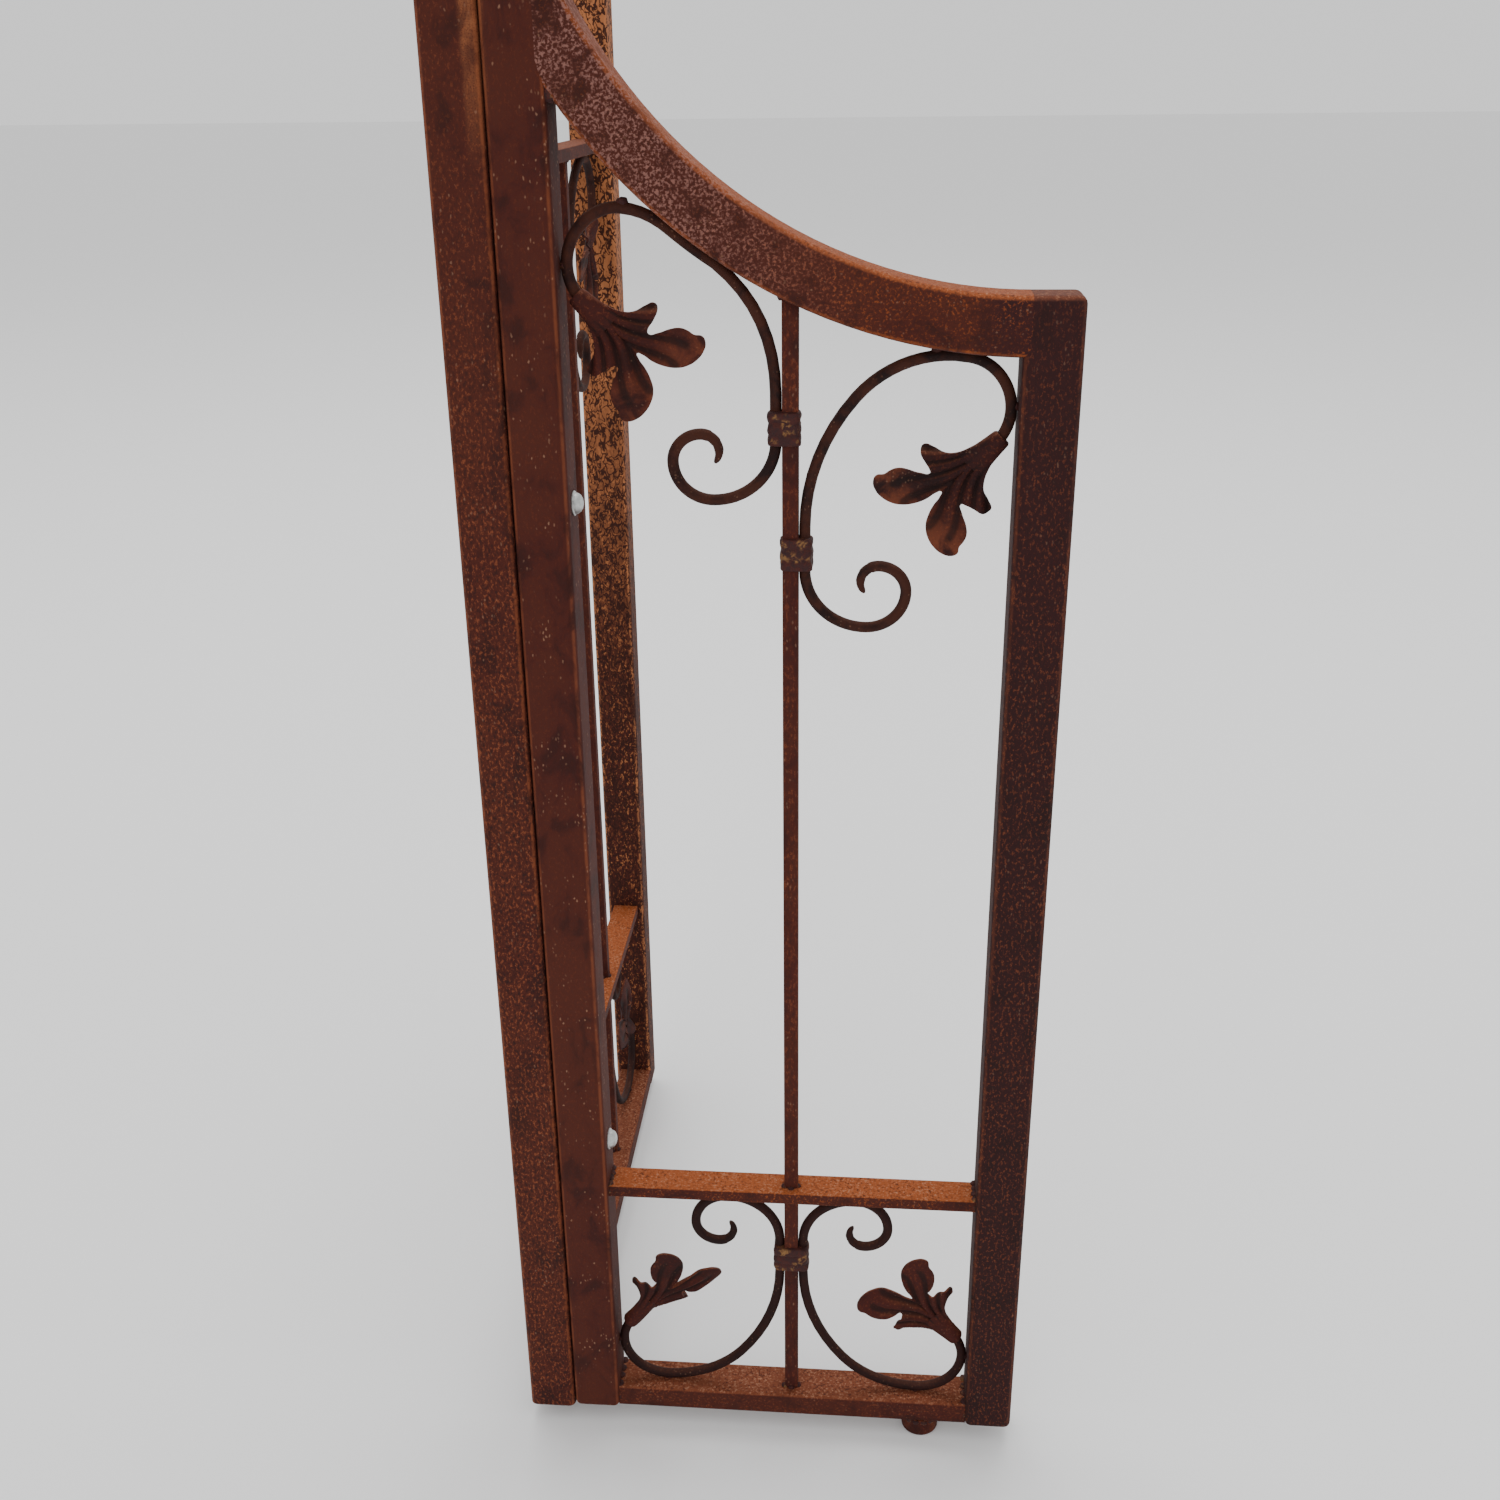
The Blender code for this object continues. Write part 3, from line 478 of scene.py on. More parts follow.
def apply_place():
    bpy.ops.object.transform_apply(location=True, rotation=True, scale=True)


def select_only(piece):
    bpy.ops.object.select_all(action="DESELECT")
    piece.select_set(True)
    bpy.context.view_layer.objects.active = piece


def select_mesh():
    bpy.ops.mesh.select_all(action="SELECT")


def extrude(move):
    bpy.ops.mesh.extrude_region_move(TRANSFORM_OT_translate={"value": move})


def resize(value, centre):
    bpy.ops.transform.resize(value=value, center_override=centre)


def changed(piece, kind, **settings):
    """Put a modifier on a piece and apply it."""
    modifier = piece.modifiers.new(kind, kind)
    for key, value in settings.items():
        setattr(modifier, key, value)
    select_only(piece)
    bpy.ops.object.modifier_apply(modifier=modifier.name)


def start(add, name, **settings):
    """Add a primitive with nothing else selected, and name it."""
    if bpy.context.mode != "OBJECT":
        bpy.ops.object.mode_set(mode="OBJECT")
    bpy.ops.object.select_all(action="DESELECT")
    add(**settings)
    piece = bpy.context.active_object
    piece.name = name
    piece.data.name = name
    return piece


def edit(on=True):
    bpy.ops.object.mode_set(mode="EDIT" if on else "OBJECT")


def pick(kind, wanted):
    """In edit mode, select only the faces, edges or verts that pass the test."""
    bpy.ops.mesh.select_all(action="DESELECT")
    bpy.ops.mesh.select_mode(type={"faces": "FACE", "edges": "EDGE", "verts": "VERT"}[kind])
    bm = bmesh.from_edit_mesh(bpy.context.edit_object.data)
    for element in getattr(bm, kind):
        element.select_set(wanted(element))
    bm.select_flush_mode()
    bmesh.update_edit_mesh(bpy.context.edit_object.data)


def along(axis):
    def test(edge):
        return abs((edge.verts[0].co - edge.verts[1].co).normalized()[axis]) > 0.99
    return test


def block(name, low, high):
    """A cube primitive stretched to fill the box."""
    low, high = Vector(low), Vector(high)
    piece = start(bpy.ops.mesh.primitive_cube_add, name, size=1.0, location=(low + high) / 2)
    piece.scale = high - low
    apply_place()
    return piece


def tidy(piece, angle=40.0):
    """Merge doubles, point faces outwards, and shade the round parts smooth."""
    select_only(piece)
    edit()
    select_mesh()
    bpy.ops.mesh.remove_doubles(threshold=0.00001)
    bpy.ops.mesh.normals_make_consistent(inside=False)
    edit(False)
    apply_place()
    bpy.ops.object.shade_smooth_by_angle(angle=math.radians(angle))


def flatten_shading(piece):
    """Keep the shading of flat faces flat next to their rounded corners."""
    changed(piece, "WEIGHTED_NORMAL", keep_sharp=True)


def hand_over(piece, finish, nodes=(), angle=40.0):
    """Finish a piece, let it ride on the arch and stand for its CAD nodes."""
    tidy(piece, angle)
    flatten_shading(piece)
    piece.data.materials.clear()
    piece.data.materials.append(finish_named(finish))
    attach(piece, "root")
    if nodes:
        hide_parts(*nodes)


def clamped(value):
    return max(0.0, min(1.0, value))


def named(*words):
    return [n for n in NODES if all(w in n for w in words)]


def boxes(*words):
    """The nodes whose names hold the words, each with its box's two corners."""
    for node in named(*words):
        yield (node, *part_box(node))


def side_of(name):
    """1 on the right, -1 on the left."""
    return 1 if name.endswith("_r") else -1


def longest(low, high):
    size = high - low
    return max(range(3), key=lambda i: size[i])


def bar_stock(name, low, high, corner, rims, segments=4):
    """A length of bar or tube whose long edges, and with rims its end edges, are rounded."""
    axis = longest(low, high)
    piece = block(name, low, high)
    edit()
    test = along(axis)
    pick("edges", (lambda e: True) if rims else test)
    bpy.ops.mesh.bevel(offset=corner, segments=segments, profile=0.5, affect="EDGES")
    edit(False)
    return piece


def spun(centre, axis, angle, steps):
    """Turn the selected section about an axis, leaving its far end selected.

    The operator counts its angle the other way round, so the sign is changed here.
    """
    bpy.ops.mesh.spin(steps=steps, angle=-angle, center=centre, axis=axis, dupli=False)


def bend_bar(bends, heading, step, taper_from, tip):
    """Bend a round section lying at the origin along a chain of tangent arcs in the XZ plane."""
    point = Vector((0.0, 0.0, 0.0))
    angle = math.radians(heading)
    for number, (radius, turn) in enumerate(bends):
        if turn == 0.0:
            run = Vector((math.cos(angle), 0.0, math.sin(angle))) * radius
            extrude(run)
            point += run
            continue
        centre = point + Vector((-math.sin(angle), 0.0, math.cos(angle))) * radius
        swing = math.radians(turn)
        parts = 3 if number >= taper_from else 1
        for _ in range(parts):
            spun(centre, (0, -1, 0), swing / parts, max(2, round(turn / parts / step)))
            angle += swing / parts
            point = centre + Vector((math.sin(angle), 0.0, -math.cos(angle))) * radius
            if number >= taper_from:
                resize((tip,) * 3, point)
    return point, angle


def bent_bar():
    """The scroll's round bar in its own frame, leaf end at the origin."""
    heading = math.radians(SCROLL_HEADING)
    bar = start(bpy.ops.mesh.primitive_circle_add, "scroll_bar", vertices=BAR_SIDES,
                radius=sizes().bar / 2, fill_type="NGON",
                rotation=(0.0, math.pi / 2 - heading, 0.0))
    apply_place()
    edit()
    select_mesh()
    point, angle = bend_bar(SCROLL_BENDS, SCROLL_HEADING, 5.0, len(SCROLL_BENDS) - 2, 0.90)
    ahead = Vector((math.cos(angle), 0.0, math.sin(angle))) * sizes().bar * 0.18
    for shrink in (0.8, 0.5):
        extrude(ahead)
        point += ahead
        resize((shrink,) * 3, point)
    edit(False)
    tidy(bar)
    return bar


def fan(u, v):
    """Distance and angle of a point of the leaf from where its flutes run together."""
    return math.hypot(u + FAN_BACK, v), math.degrees(math.atan2(abs(v), u + FAN_BACK))


def leaf_height(u, v):
    """How far a leaf of length 1 is pressed towards the viewer, along its axis and out from it."""
    reach, swing = fan(u, v)
    strength = FLUTE_DEPTH * min(1.0, reach / 0.5) * clamped((1.08 - reach) / 0.25)
    lobe = math.exp(-((swing - LOBE_ANGLE) / 13.0) ** 2)
    bulge = 0.080 * lobe * min(1.0, max(0.0, reach - 0.25) / 0.4)
    droop = -0.30 * max(0.0, reach - 0.72) ** 2
    roll = -0.7 * v * v * max(0.0, 1.0 - u / 0.45)
    return bulge + droop + roll - strength * flute_at(u, v)


def leaf_sheet():
    """A leaf in its own frame: socket at the origin, axis along +X, face towards -Y."""
    s = sizes()
    long, cells = s.leaf, 88
    sheet = start(bpy.ops.mesh.primitive_grid_add, "leaf", x_subdivisions=cells,
                  y_subdivisions=cells, size=1.3 * long, location=(0.52 * long, 0.0, 0.0))
    apply_place()
    for vert in sheet.data.vertices:
        vert.co.z = leaf_height(vert.co.x / long, vert.co.y / long) * long
    changed(sheet, "SOLIDIFY", thickness=s.leaf_sheet, offset=0.0)

    curve = bpy.data.curves.new("leaf_edge", "CURVE")
    curve.dimensions = "2D"
    curve.fill_mode = "BOTH"
    curve.extrude = 0.4 * long
    edge = curve.splines.new("BEZIER")
    half = [Vector((u, v, 0.0)) * long for u, v in LEAF_HALF]
    rim = half + [Vector((p.x, -p.y, 0.0)) for p in reversed(half[:-1])]
    edge.bezier_points.add(len(rim) - 1)
    for knot, p in zip(edge.bezier_points, rim):
        knot.co = p
        knot.handle_left_type = knot.handle_right_type = "AUTO"
    edge.use_cyclic_u = True
    edge.resolution_u = 5
    die = bpy.data.objects.new("leaf_die", curve)
    bpy.context.scene.collection.objects.link(die)
    select_only(die)
    bpy.ops.object.convert(target="MESH")
    tidy(die)
    changed(sheet, "BOOLEAN", operation="INTERSECT", object=die)
    bpy.data.objects.remove(die, do_unlink=True)
    if not sheet.data.polygons:
        raise RuntimeError("the leaf's edge did not cut its sheet")
    sheet.data.transform(Matrix.Rotation(math.pi / 2, 4, "X"))
    return sheet


def flute_at(u, v):
    """0 on a leaf's ridges and 1 in its grooves, which run together towards the socket."""
    reach, swing = fan(u, v)
    bent = swing - LOBE_ANGLE + 7.0 * math.sin(reach * 5.0)
    return math.cos(math.radians(bent * 360.0 / FLUTE_ANGLE)) * 0.5 + 0.5


def mark_leaf(leaf):
    """Colour attribute of a leaf: grooves in red, tips in green."""
    marks = leaf.data.color_attributes.new(LEAF_MARKS, "FLOAT_COLOR", "POINT")
    long = sizes().leaf
    for vert, mark in zip(leaf.data.vertices, marks.data):
        u, v = vert.co.x / long, vert.co.z / long
        reach = math.hypot(u, v)
        groove = flute_at(u, v) * max(0.0, min(1.0, (reach - 0.06) / 0.15, (0.99 - reach) / 0.12))
        tip = clamped((reach - 0.62) / 0.33)
        mark.color = (groove, tip, 1.0, 1.0)


def leaf_socket():
    """The rolled sleeve that grips the bar, on the leaf's axis."""
    s = sizes()
    mouth = s.bar * 0.74
    sleeve = start(bpy.ops.mesh.primitive_circle_add, "socket", vertices=20, radius=mouth,
                   fill_type="NGON", location=(-0.10 * s.leaf, 0.0, 0.0),
                   rotation=(0.0, math.pi / 2, 0.0))
    apply_place()
    edit()
    select_mesh()
    x = -0.10 * s.leaf
    for run, wide, thin in ((0.015, 1.16, 1.16), (0.035, 1.06, 1.0), (0.06, 1.08, 0.94),
                            (0.08, 1.12, 0.78), (0.09, 1.15, 0.55), (0.08, 1.1, 0.3)):
        extrude((run * s.leaf, 0.0, 0.0))
        x += run * s.leaf
        resize((1.0, thin, wide), (x, 0.0, 0.0))
    edit(False)
    return sleeve


def joined(pieces, name):
    bpy.ops.object.select_all(action="DESELECT")
    for piece in pieces:
        piece.select_set(True)
    bpy.context.view_layer.objects.active = pieces[0]
    bpy.ops.object.join()
    pieces[0].name = name
    return pieces[0]


def copy_of(piece, name):
    twin = piece.copy()
    twin.data = piece.data.copy()
    twin.name = name
    bpy.context.scene.collection.objects.link(twin)
    return twin


def mesh_box(mesh):
    low = Vector([min(v.co[i] for v in mesh.vertices) for i in range(3)])
    high = Vector([max(v.co[i] for v in mesh.vertices) for i in range(3)])
    return low, high


def pressed_to_arc(bar, tag):
    """Push the rings of a bar that would enter the curved rail out to its underside."""
    s = sizes()
    low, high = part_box(f"wing_arc_rail{tag}")
    clear = s.arc_radius + (high.y - low.y) / 2 + s.bar / 2
    centre = arc_centre(tag)
    verts = bar.data.vertices
    rings = [verts[first:first + BAR_SIDES]
             for first in range(0, len(verts) - BAR_SIDES + 1, BAR_SIDES)]
    outs = []
    for ring in rings:
        middle = sum((v.co for v in ring), Vector()) / BAR_SIDES
        if max((v.co - middle).length for v in ring) > s.bar:
            raise RuntimeError("the scroll bar's rings are out of order")
        outs.append(Vector((middle.x - centre.x, 0.0, middle.z - centre.z)))
    need = [max(0.0, clear - out.length) for out in outs]
    push = list(need)
    for _ in range(s.press_spread):
        beside = [push[0]] + push + [push[-1]]
        push = [max(n, sum(beside[i:i + 3]) / 3) for i, n in enumerate(need)]
    for ring, out, amount in zip(rings, outs, push):
        for v in ring:
            v.co += out.normalized() * amount


def folded(leaf, fold):
    """Turn the leaf's lower half back about its axis, and the upper half forward a little."""
    for v in leaf.data.vertices:
        share = clamped(0.5 - v.co.z / FOLD_WIDTH)
        v.co = Matrix.Rotation(fold * (0.25 + 0.75 * share), 3, "X") @ v.co


def fitted(bar, leaf, node):
    """A bar and leaf turned, flipped and stretched onto the scroll node's own box."""
    side_frame = node.startswith("side")
    left = node.endswith("_l")
    flip_x = -1.0 if ("outer" in node or "rear" in node) else 1.0
    flip_z = -1.0 if "upper" in node else 1.0
    turn = Matrix.Rotation(math.pi / 2, 4, "Z") if side_frame else Matrix.Identity(4)
    mirror = Matrix.Diagonal((-1.0 if left else 1.0, 1.0, 1.0, 1.0))
    pose = mirror @ turn @ Matrix.Diagonal((flip_x, 1.0, flip_z, 1.0))
    low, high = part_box(node)
    bar_piece = copy_of(bar, f"{node}_bar")
    bar_piece.data.transform(pose)
    a, b = mesh_box(bar_piece.data)
    across = 0 if not side_frame else 1
    through = 1 - across
    stretch = [1.0, 1.0, 1.0]
    for i in (across, 2):
        stretch[i] = (high[i] - low[i]) / (b[i] - a[i])
    move = (low + high) / 2 - Vector([(a[i] + b[i]) / 2 * stretch[i] for i in range(3)])
    move[through] = (low[through] + high[through]) / 2
    fit = Matrix.Translation(move) @ Matrix.Diagonal((*stretch, 1.0))
    bar_piece.data.transform(fit)
    if node.startswith("wing_scroll_upper"):
        pressed_to_arc(bar_piece, node[-2:])
    leaf_piece = copy_of(leaf, f"{node}_leaf")
    if node.startswith("wing_scroll_lower_inner"):
        folded(leaf_piece, sizes().leaf_twist)
    axis = Matrix.Rotation(-math.radians(SCROLL_HEADING - 180.0), 4, "Y")
    leaf_piece.data.transform(fit @ pose @ axis)
    return joined([bar_piece, leaf_piece], node.replace("scroll", "scroll_with_leaf"))


# ---------------------------------------------------------------- operators

class ARCH_OT_legs(bpy.types.Operator):
    """Model the four legs as square tube with closed ends"""
    bl_idname = "arch.legs"
    bl_label = "Legs"

    def execute(self, context):
        for node, low, high in boxes("leg"):
            leg = bar_stock(f"{node}_tube", low, high, sizes().tube_corner, rims=False)
            finish = "leg_rust" if "front" in node else "rear_rust"
            hand_over(leg, finish, [node])
        return {"FINISHED"}


class ARCH_OT_stiles(bpy.types.Operator):
    """Model the wings' stiles from square tube with closed, rounded ends"""
    bl_idname = "arch.stiles"
    bl_label = "Stiles"

    def execute(self, context):
        for node, low, high in boxes("stile"):
            stile = bar_stock(f"{node}_tube", low, high, sizes().tube_corner, rims=True)
            finish = "plum_rust" if "outer" in node else "stile_rust"
            hand_over(stile, finish, [node])
        return {"FINISHED"}


class ARCH_OT_rails(bpy.types.Operator):
    """Model the bottom, middle and side rails, with the side frames' feet"""
    bl_idname = "arch.rails"
    bl_label = "Rails"

    def execute(self, context):
        s = sizes()
        for node in named("rail"):
            if "arc" in node:
                continue
            low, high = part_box(node)
            axis = longest(low, high)
            low[axis] -= s.weld_reach
            high[axis] += s.weld_reach
            corner = s.flat_corner
            if "bottom" in node:
                corner = s.rail_corner
                low.z = high.z - bottom_rail_height()
            rail = bar_stock(f"{node}_bar", low, high, corner, rims=False, segments=3)
            if node.startswith("side_bottom"):
                rail = joined([rail] + side_feet(node), f"{node}_with_feet")
            finish = "base_rust" if "bottom" in node else "rail_rust"
            if node.startswith("side_top"):
                finish = "base_rust"
            hand_over(rail, finish, [node])
        return {"FINISHED"}


def bottom_rail_height():
    low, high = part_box(named("wing_bottom_rail")[0])
    return high.z - low.z


def foot_stub(name, centre, top):
    """A round stub with a worn lower rim and an inset top face."""
    radius = foot_radius()
    stub = start(bpy.ops.mesh.primitive_cylinder_add, name, vertices=40, radius=radius,
                 depth=top, location=(centre.x, centre.y, top / 2))
    apply_place()
    edit()
    pick("edges", lambda e: all(v.co.z < top * 0.1 for v in e.verts))
    bpy.ops.mesh.bevel(offset=radius * 0.12, segments=4, profile=0.5, affect="EDGES")
    pick("faces", lambda f: f.normal.z > 0.9)
    bpy.ops.mesh.inset(thickness=radius * 0.02)
    edit(False)
    return stub


def foot_radius():
    low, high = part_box(named("wing_foot")[0])
    return (high.x - low.x) / 2


def side_feet(node):
    """The two stubs under a side frame's bottom rail, placed from the rail node's own vertices."""
    low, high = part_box(node)
    under = high.z - bottom_rail_height()
    soles = [v.co for v in frame["nodes"][node].data.vertices if v.co.z < low.z + 0.001]
    stubs = []
    for sign in (-1, 1):
        sole = [p for p in soles if p.y * sign > 0]
        centre = sum((Vector(p) for p in sole), Vector()) / len(sole)
        stubs.append(foot_stub(f"{node}_foot_{sign}", centre, under + 0.001))
    return stubs


class ARCH_OT_feet(bpy.types.Operator):
    """Model the round stub feet under the wings"""
    bl_idname = "arch.feet"
    bl_label = "Feet"

    def execute(self, context):
        for node, low, high in boxes("foot"):
            stub = foot_stub(f"{node}_stub", (low + high) / 2, high.z + 0.0005)
            hand_over(stub, "base_rust", [node])
        return {"FINISHED"}


class ARCH_OT_rods(bpy.types.Operator):
    """Model the square rods"""
    bl_idname = "arch.rods"
    bl_label = "Rods"

    def execute(self, context):
        s = sizes()
        for node, low, high in boxes("rod"):
            low.z -= s.weld_reach
            high.z += s.weld_reach * 4
            rod = bar_stock(f"{node}_bar", low, high, s.flat_corner, rims=False, segments=3)
            hand_over(rod, "rod_rust", [node])
        return {"FINISHED"}


def tube_section(name, width, corner, location):
    """A rounded square face lying level, ready to be spun into a bent tube."""
    face = start(bpy.ops.mesh.primitive_plane_add, name, size=width, location=location)
    apply_place()
    edit()
    select_mesh()
    bpy.ops.mesh.bevel(offset=corner, segments=4, profile=0.5, affect="VERTICES")
    select_mesh()
    return face


def arc_centre(tag):
    """The centre of a wing's curved rail, worked out from its outer stile."""
    s = sizes()
    side = side_of(tag)
    low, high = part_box(f"wing_outer_stile{tag}")
    edge = high.x if side > 0 else low.x
    return Vector((edge - side * s.arc_inset, (low.y + high.y) / 2,
                   high.z + s.arc_radius - (high.x - low.x) / 2))


class ARCH_OT_curved_rails(bpy.types.Operator):
    """Bend the wings' curved top rails"""
    bl_idname = "arch.curved_rails"
    bl_label = "Curved rails"

    def execute(self, context):
        s = sizes()
        for node, low, high in boxes("arc_rail"):
            side = side_of(node)
            width = high.y - low.y
            centre = arc_centre(node[-2:])
            first = centre + Vector((-side * s.arc_radius, 0.0, 0.0))
            rail = tube_section(f"{node}_tube", width, s.tube_corner, first)
            spun(centre, (0, -side, 0), CURVED_RAIL_TURN, CURVED_RAIL_STEPS)
            edit(False)
            for face_x, out in ((low.x - s.tube_corner, -1), (high.x + s.tube_corner, 1)):
                edit()
                select_mesh()
                bpy.ops.mesh.bisect(plane_co=(face_x, 0, 0), plane_no=(out, 0, 0),
                                    use_fill=True, clear_outer=True)
                edit(False)
            hand_over(rail, "arc_rust", [node])
        return {"FINISHED"}


class ARCH_OT_hoops(bpy.types.Operator):
    """Bend the half-round tubes of the top"""
    bl_idname = "arch.hoops"
    bl_label = "Hoops"

    def execute(self, context):
        s = sizes()
        for node, low, high in boxes("hoop"):
            width = high.y - low.y
            radius = (high.x - low.x - width) / 2
            centre = Vector((0.0, (low.y + high.y) / 2, high.z - radius - width / 2))
            first = centre + Vector((radius, 0, 0))
            hoop = tube_section(f"{node}_tube", width, s.tube_corner, first)
            spun(centre, (0, -1, 0), math.pi, s.hoop_steps)
            edit(False)
            hand_over(hoop, "leg_rust", [node])
        return {"FINISHED"}


class ARCH_OT_cross_bars(bpy.types.Operator):
    """Model the flat cross bars of the top on their CAD places"""
    bl_idname = "arch.cross_bars"
    bl_label = "Cross bars"

    def execute(self, context):
        s = sizes()
        for node in named("cross_bar"):
            bar = copy_of(frame["nodes"][node], f"{node}_flat")
            bar.parent = None
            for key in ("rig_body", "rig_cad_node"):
                if key in bar:
                    del bar[key]
            tidy(bar)
            changed(bar, "BEVEL", width=s.flat_corner * 0.3, segments=2, limit_method="ANGLE")
            hand_over(bar, "rail_rust", [node])
        return {"FINISHED"}


class ARCH_OT_scrolls(bpy.types.Operator):
    """Bend the scroll bars, press the leaves and fit a pair to every scroll's place"""
    bl_idname = "arch.scrolls"
    bl_label = "Scrolls and leaves"

    def execute(self, context):
        bar = bent_bar()
        leaf = joined([leaf_sheet(), leaf_socket()], "leaf")
        mark_leaf(leaf)
        for node in named("scroll"):
            piece = fitted(bar, leaf, node)
            hand_over(piece, "scroll_rust", [node], angle=50.0)
        bpy.data.objects.remove(bar, do_unlink=True)
        bpy.data.objects.remove(leaf, do_unlink=True)
        return {"FINISHED"}


class ARCH_OT_collars(bpy.types.Operator):
    """Model the ridged collars that bind scrolls and rod"""
    bl_idname = "arch.collars"
    bl_label = "Collars"

    def execute(self, context):
        for node, low, high in boxes("collar"):
            centre = (low + high) / 2
            size = high - low
            collar = start(bpy.ops.mesh.primitive_plane_add, f"{node}_casting", size=1.0,
                           location=(centre.x, centre.y, low.z))
            collar.scale = (size.x * COLLAR_FILL, size.y * COLLAR_FILL, 1.0)
            apply_place()
            edit()
            select_mesh()
            bpy.ops.mesh.bevel(offset=size.y * 0.2, segments=3, profile=0.5, affect="VERTICES")
            select_mesh()
            at, x, y = 0.0, 1.0, 1.0
            for share, swell in COLLAR_PROFILE:
                extrude((0.0, 0.0, (share - at) * size.z))
                wide, deep = 1.0 + 0.07 * swell, 1.0 + 0.17 * swell
                resize((wide / x, deep / y, 1.0),
                       (centre.x, centre.y, low.z + share * size.z))
                at, x, y = share, wide, deep
            edit(False)
            tidy(collar)
            changed(collar, "SUBSURF", levels=2, render_levels=2)
            for vert in collar.data.vertices:
                push = noise.noise(vert.co * 320.0) * 0.0007
                out = Vector((vert.co.x - centre.x, vert.co.y - centre.y, 0.0))
                vert.co += out.normalized() * push
            hand_over(collar, "collar_rust", [node], angle=60.0)
        return {"FINISHED"}


def weld_drop():
    """One lump of weld metal, modelled once and copied: a flattened ball with an uneven skin."""
    drop = start(bpy.ops.mesh.primitive_ico_sphere_add, "weld_drop", subdivisions=3, radius=1.0)
    edit()
    pick("verts", lambda v: v.co.z > 0.3)
    resize((1.0, 1.0, 0.75), (0.0, 0.0, 0.3))
    edit(False)
    for vert in drop.data.vertices:
        vert.co *= 1.0 + 0.16 * noise.noise(vert.co * 1.7) + 0.06 * noise.noise(vert.co * 5.0)
    return drop


def touching(node, axis, sign):
    """The middle of the CAD node's furthest vertices along an axis."""
    points = [v.co for v in frame["nodes"][node].data.vertices]
    reach = max(p[axis] * sign for p in points)
    far = [p for p in points if p[axis] * sign > reach - 0.0004]
    return sum(far, Vector()) / len(far)


class ARCH_OT_welds(bpy.types.Operator):
    """Lay lumps of weld where scrolls, rods and rails meet their neighbours"""
    bl_idname = "arch.welds"
    bl_label = "Welds"

    def execute(self, context):
        s = sizes()
        drop = weld_drop()
        for tag in ("_r", "_l"):
            spots = self.scroll_spots(tag) + self.rail_spots(tag) + self.corner_spots(tag)
            lumps = []
            for number, (place, size) in enumerate(spots):
                lump = copy_of(drop, f"lump{tag}_{number}")
                turn = (Matrix.Rotation(number * LUMP_TURNS[0], 4, "Z")
                        @ Matrix.Rotation(number * LUMP_TURNS[1], 4, "X"))
                grow = Matrix.Diagonal((*(Vector(size) * s.weld), 1.0))
                lump.data.transform(Matrix.Translation(place) @ grow @ turn)
                lumps.append(lump)
            hand_over(joined(lumps, f"welds{tag}"), "weld_rust", angle=60.0)
        bpy.data.objects.remove(drop, do_unlink=True)
        return {"FINISHED"}

    def scroll_spots(self, tag):
        spots = []
        for node in named("scroll", tag):
            if not node.endswith(tag):
                continue
            across = 1 if node.startswith("side") else 0
            outward = -1 if ("inner" in node or "front" in node) else 1
            if across == 0 and tag == "_l":
                outward = -outward
            end = 1 if "upper" in node else -1
            for axis, sign, wide in ((across, outward, 1.0), (2, end, 1.25)):
                place = touching(node, axis, sign)
                inward = Vector((0.0, 0.0, 0.0))
                inward[axis] = -LUMP_SINK * sign
                spots.append((place + inward, (wide, 0.9, 1.0)))
        return spots

    def rail_spots(self, tag):
        spots = []
        # The right side's tag is also in the word rod, so the left rods get their lumps twice
        for node in named("rod", tag):
            low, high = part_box(node)
            half = (high.x - low.x) / 2
            rail_low, rail_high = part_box(f"{node[:4]}_mid_rail{tag}")
            middle = (low + high) / 2
            for level in (low.z, high.z, rail_low.z, rail_high.z):
                for dx, dy in ((-half, -half * 0.6), (half, -half * 0.4), (0.0, -half)):
                    spots.append((Vector((middle.x + dx, middle.y + dy, level)), (0.85, 0.8, 0.7)))
        for node in (f"wing_mid_rail{tag}", f"wing_bottom_rail{tag}"):
            low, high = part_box(node)
            for x in (low.x, high.x):
                for share in (0.15, 0.4, 0.65, 0.9):
                    y = low.y + (high.y - low.y) * share
                    spots.append((Vector((x, y, high.z)), (0.9, 1.1, 0.55)))
                spots.append((Vector((x, low.y + 0.0015, (low.z + high.z) / 2)), (0.7, 0.7, 1.3)))
        low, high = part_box(f"wing_foot{tag}")
        centre = (low + high) / 2
        for step in range(FOOT_LUMPS):
            angle = math.tau * step / FOOT_LUMPS
            ring = Vector((math.cos(angle), math.sin(angle), 0.0)) * foot_radius() * 0.94
            level = high.z - LUMP_SINK
            spots.append((Vector((centre.x, centre.y, level)) + ring, (0.8, 0.8, 0.7)))
        return spots

    def corner_spots(self, tag):
        """The fillet in the narrow corner under the curved rail, beside the inner stile."""
        side = side_of(tag)
        low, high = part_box(f"wing_inner_stile{tag}")
        face = high.x if side > 0 else low.x
        centre = arc_centre(tag)
        outer = sizes().arc_radius + (high.y - low.y) / 2
        level = centre.z - math.sqrt(outer ** 2 - (face - centre.x) ** 2)
        spots = []
        for step in range(6):
            y = low.y + 0.004 + step * 0.0045
            spots.append((Vector((face + side * 0.0015, y, level - 0.0008)), (1.6, 1.1, 1.7)))
            spots.append((Vector((face + side * 0.0045, y + 0.001, level - 0.0036)),
                          (1.1, 1.0, 1.0)))
        return spots


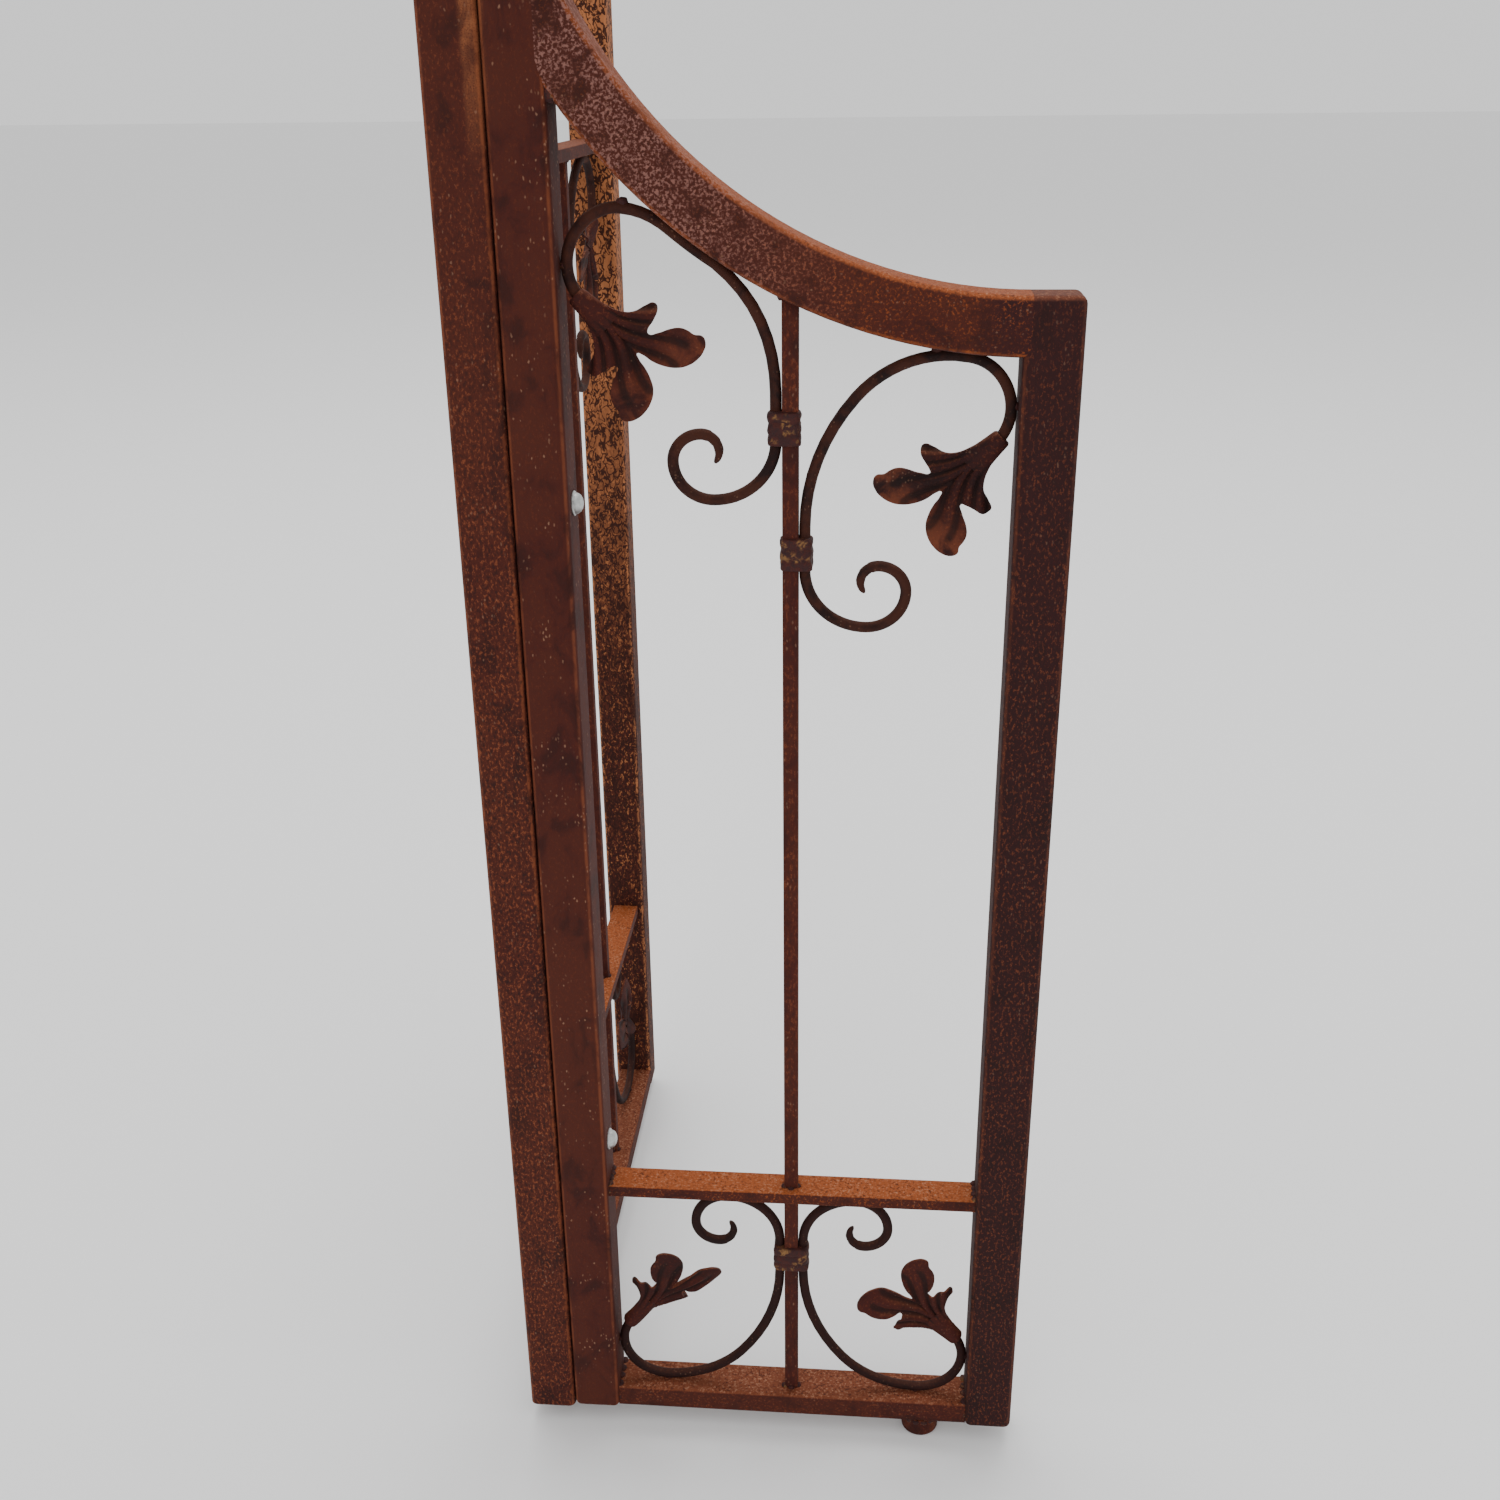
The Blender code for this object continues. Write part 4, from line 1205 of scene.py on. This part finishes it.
class ARCH_OT_bolts(bpy.types.Operator):
    """Turn the domed bolts, with the nuts that hold them inside the legs"""
    bl_idname = "arch.bolts"
    bl_label = "Bolts"

    def execute(self, context):
        s = sizes()
        for node, low, high in boxes("bolt"):
            side = side_of(node)
            stile_low, stile_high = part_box(f"wing_inner_stile{node[-2:]}")
            head_x = stile_high.x if side > 0 else stile_low.x
            end_x = low.x if side > 0 else high.x
            tip_x = high.x if side > 0 else low.x
            y, z = (low.y + high.y) / 2, (low.z + high.z) / 2
            head = self.turned(f"{node}_head", Vector((head_x, y, z)), side, abs(tip_x - head_x),
                               (high.z - low.z) / 2 * 0.96,
                               ((0.10, 1.0), (0.16, 0.97), (0.22, 0.86), (0.50, 0.80), (0.74, 0.66),
                                (0.90, 0.44), (0.98, 0.20)))
            nut_x = end_x + side * s.thread_end
            nut = self.turned(f"{node}_nut", Vector((nut_x, y, z)), side, s.nut_height,
                              (high.y - low.y) / 2,
                              ((0.12, 1.0), (0.88, 1.0), (1.0, 0.86)), sides=6)
            shank = start(bpy.ops.mesh.primitive_cylinder_add, f"{node}_shank", vertices=20,
                          radius=(high.y - low.y) * 0.26, depth=abs(end_x - head_x),
                          location=((end_x + head_x) / 2, y, z), rotation=(0.0, math.pi / 2, 0.0))
            apply_place()
            edit()
            pick("edges", lambda e: all(abs(v.co.x - end_x) < 1e-6 for v in e.verts))
            bpy.ops.mesh.bevel(offset=0.0008, segments=2, affect="EDGES")
            edit(False)
            piece = joined([head, nut, shank], f"{node}_set")
            hand_over(piece, "bolt_zinc", [node], angle=30.0)
        return {"FINISHED"}

    def turned(self, name, base, side, height, radius, profile, sides=28):
        """A disc drawn out along X through (share of height, share of radius) steps."""
        piece = start(bpy.ops.mesh.primitive_circle_add, name, vertices=sides, radius=radius * 0.98,
                      fill_type="NGON", location=base, rotation=(0.0, math.pi / 2, 0.0))
        apply_place()
        edit()
        select_mesh()
        at, wide = 0.0, 0.98
        for share, out in profile:
            run = side * (share - at) * height
            extrude((run, 0.0, 0.0))
            at = share
            where = base + Vector((side * share * height, 0.0, 0.0))
            resize((1.0, out / wide, out / wide), where)
            wide = out
        edit(False)
        return piece


class ARCH_OT_stage(bpy.types.Operator):
    """Lay the plain floor, hang the soft lights and set up the camera"""
    bl_idname = "arch.stage"
    bl_label = "Stage"

    def execute(self, context):
        s = context.scene.arch_stage
        floor = start(bpy.ops.mesh.primitive_plane_add, "floor", size=60.0)
        edit()
        bpy.ops.mesh.subdivide(number_cuts=2)
        edit(False)
        g = Graph("floor_paint")
        g.feed(g.shader.inputs["Base Color"], tuple(s.floor))
        g.feed(g.shader.inputs["Roughness"], 0.9)
        floor.data.materials.append(g.material)

        world = bpy.data.worlds.new("studio")
        world.use_nodes = True
        world.node_tree.nodes["Background"].inputs["Color"].default_value = (1.0, 1.0, 1.0, 1.0)
        world.node_tree.nodes["Background"].inputs["Strength"].default_value = 1.0
        context.scene.world = world
        for name, place, aim, size, power in (
            ("overhead", (0.6, 1.2, 4.6), (0.4, 0.0, 0.8), 3.0, 120.0),
            ("front_fill", (0.4, -4.2, 2.6), (0.6, 0.0, 0.6), 3.0, 40.0),
        ):
            light = bpy.data.lights.new(name, "AREA")
            light.size = size
            light.energy = power
            lamp = bpy.data.objects.new(name, light)
            lamp.location = place
            lamp.rotation_euler = (Vector(aim) - Vector(place)).to_track_quat("-Z", "Y").to_euler()
            context.scene.collection.objects.link(lamp)

        camera = bpy.data.cameras.new("camera")
        camera.lens = s.lens
        camera.sensor_width = 36.0
        camera.clip_start = 0.02
        eye = bpy.data.objects.new("camera", camera)
        eye.matrix_world = (Matrix.Translation(s.eye) @ Matrix.Rotation(s.turn, 4, "Z")
                            @ Matrix.Rotation(math.pi / 2 - s.tilt, 4, "X")
                            @ Matrix.Rotation(s.roll, 4, "Z"))
        context.scene.collection.objects.link(eye)
        context.scene.camera = eye
        return {"FINISHED"}


MAKING = (ARCH_OT_legs, ARCH_OT_stiles, ARCH_OT_rails, ARCH_OT_feet, ARCH_OT_rods,
          ARCH_OT_curved_rails, ARCH_OT_hoops, ARCH_OT_cross_bars, ARCH_OT_scrolls,
          ARCH_OT_collars, ARCH_OT_welds, ARCH_OT_bolts, ARCH_OT_stage)


class ARCH_PT_panel(bpy.types.Panel):
    """Sizes, colours and the steps that make the arch"""
    bl_idname = "ARCH_PT_panel"
    bl_label = "Garden arch"
    bl_space_type = "VIEW_3D"
    bl_region_type = "UI"
    bl_category = "Garden arch"

    def draw(self, context):
        scene = context.scene
        for group in (scene.arch_sizes, scene.arch_colours, scene.arch_stage):
            box = self.layout.box()
            for key in group.__annotations__:
                box.prop(group, key)
        for step in MAKING:
            self.layout.operator(step.bl_idname)


CLASSES = (ArchSizes, ArchColours, ArchStage, *MAKING, ARCH_PT_panel)


def register():
    for cls in CLASSES:
        bpy.utils.register_class(cls)
    bpy.types.Scene.arch_sizes = PointerProperty(type=ArchSizes)
    bpy.types.Scene.arch_colours = PointerProperty(type=ArchColours)
    bpy.types.Scene.arch_stage = PointerProperty(type=ArchStage)


def unregister():
    del bpy.types.Scene.arch_stage
    del bpy.types.Scene.arch_colours
    del bpy.types.Scene.arch_sizes
    for cls in reversed(CLASSES):
        bpy.utils.unregister_class(cls)


def main():
    register()
    for step in MAKING:
        group, name = step.bl_idname.split(".")
        getattr(getattr(bpy.ops, group), name)()


if __name__ == "__main__":
    main()
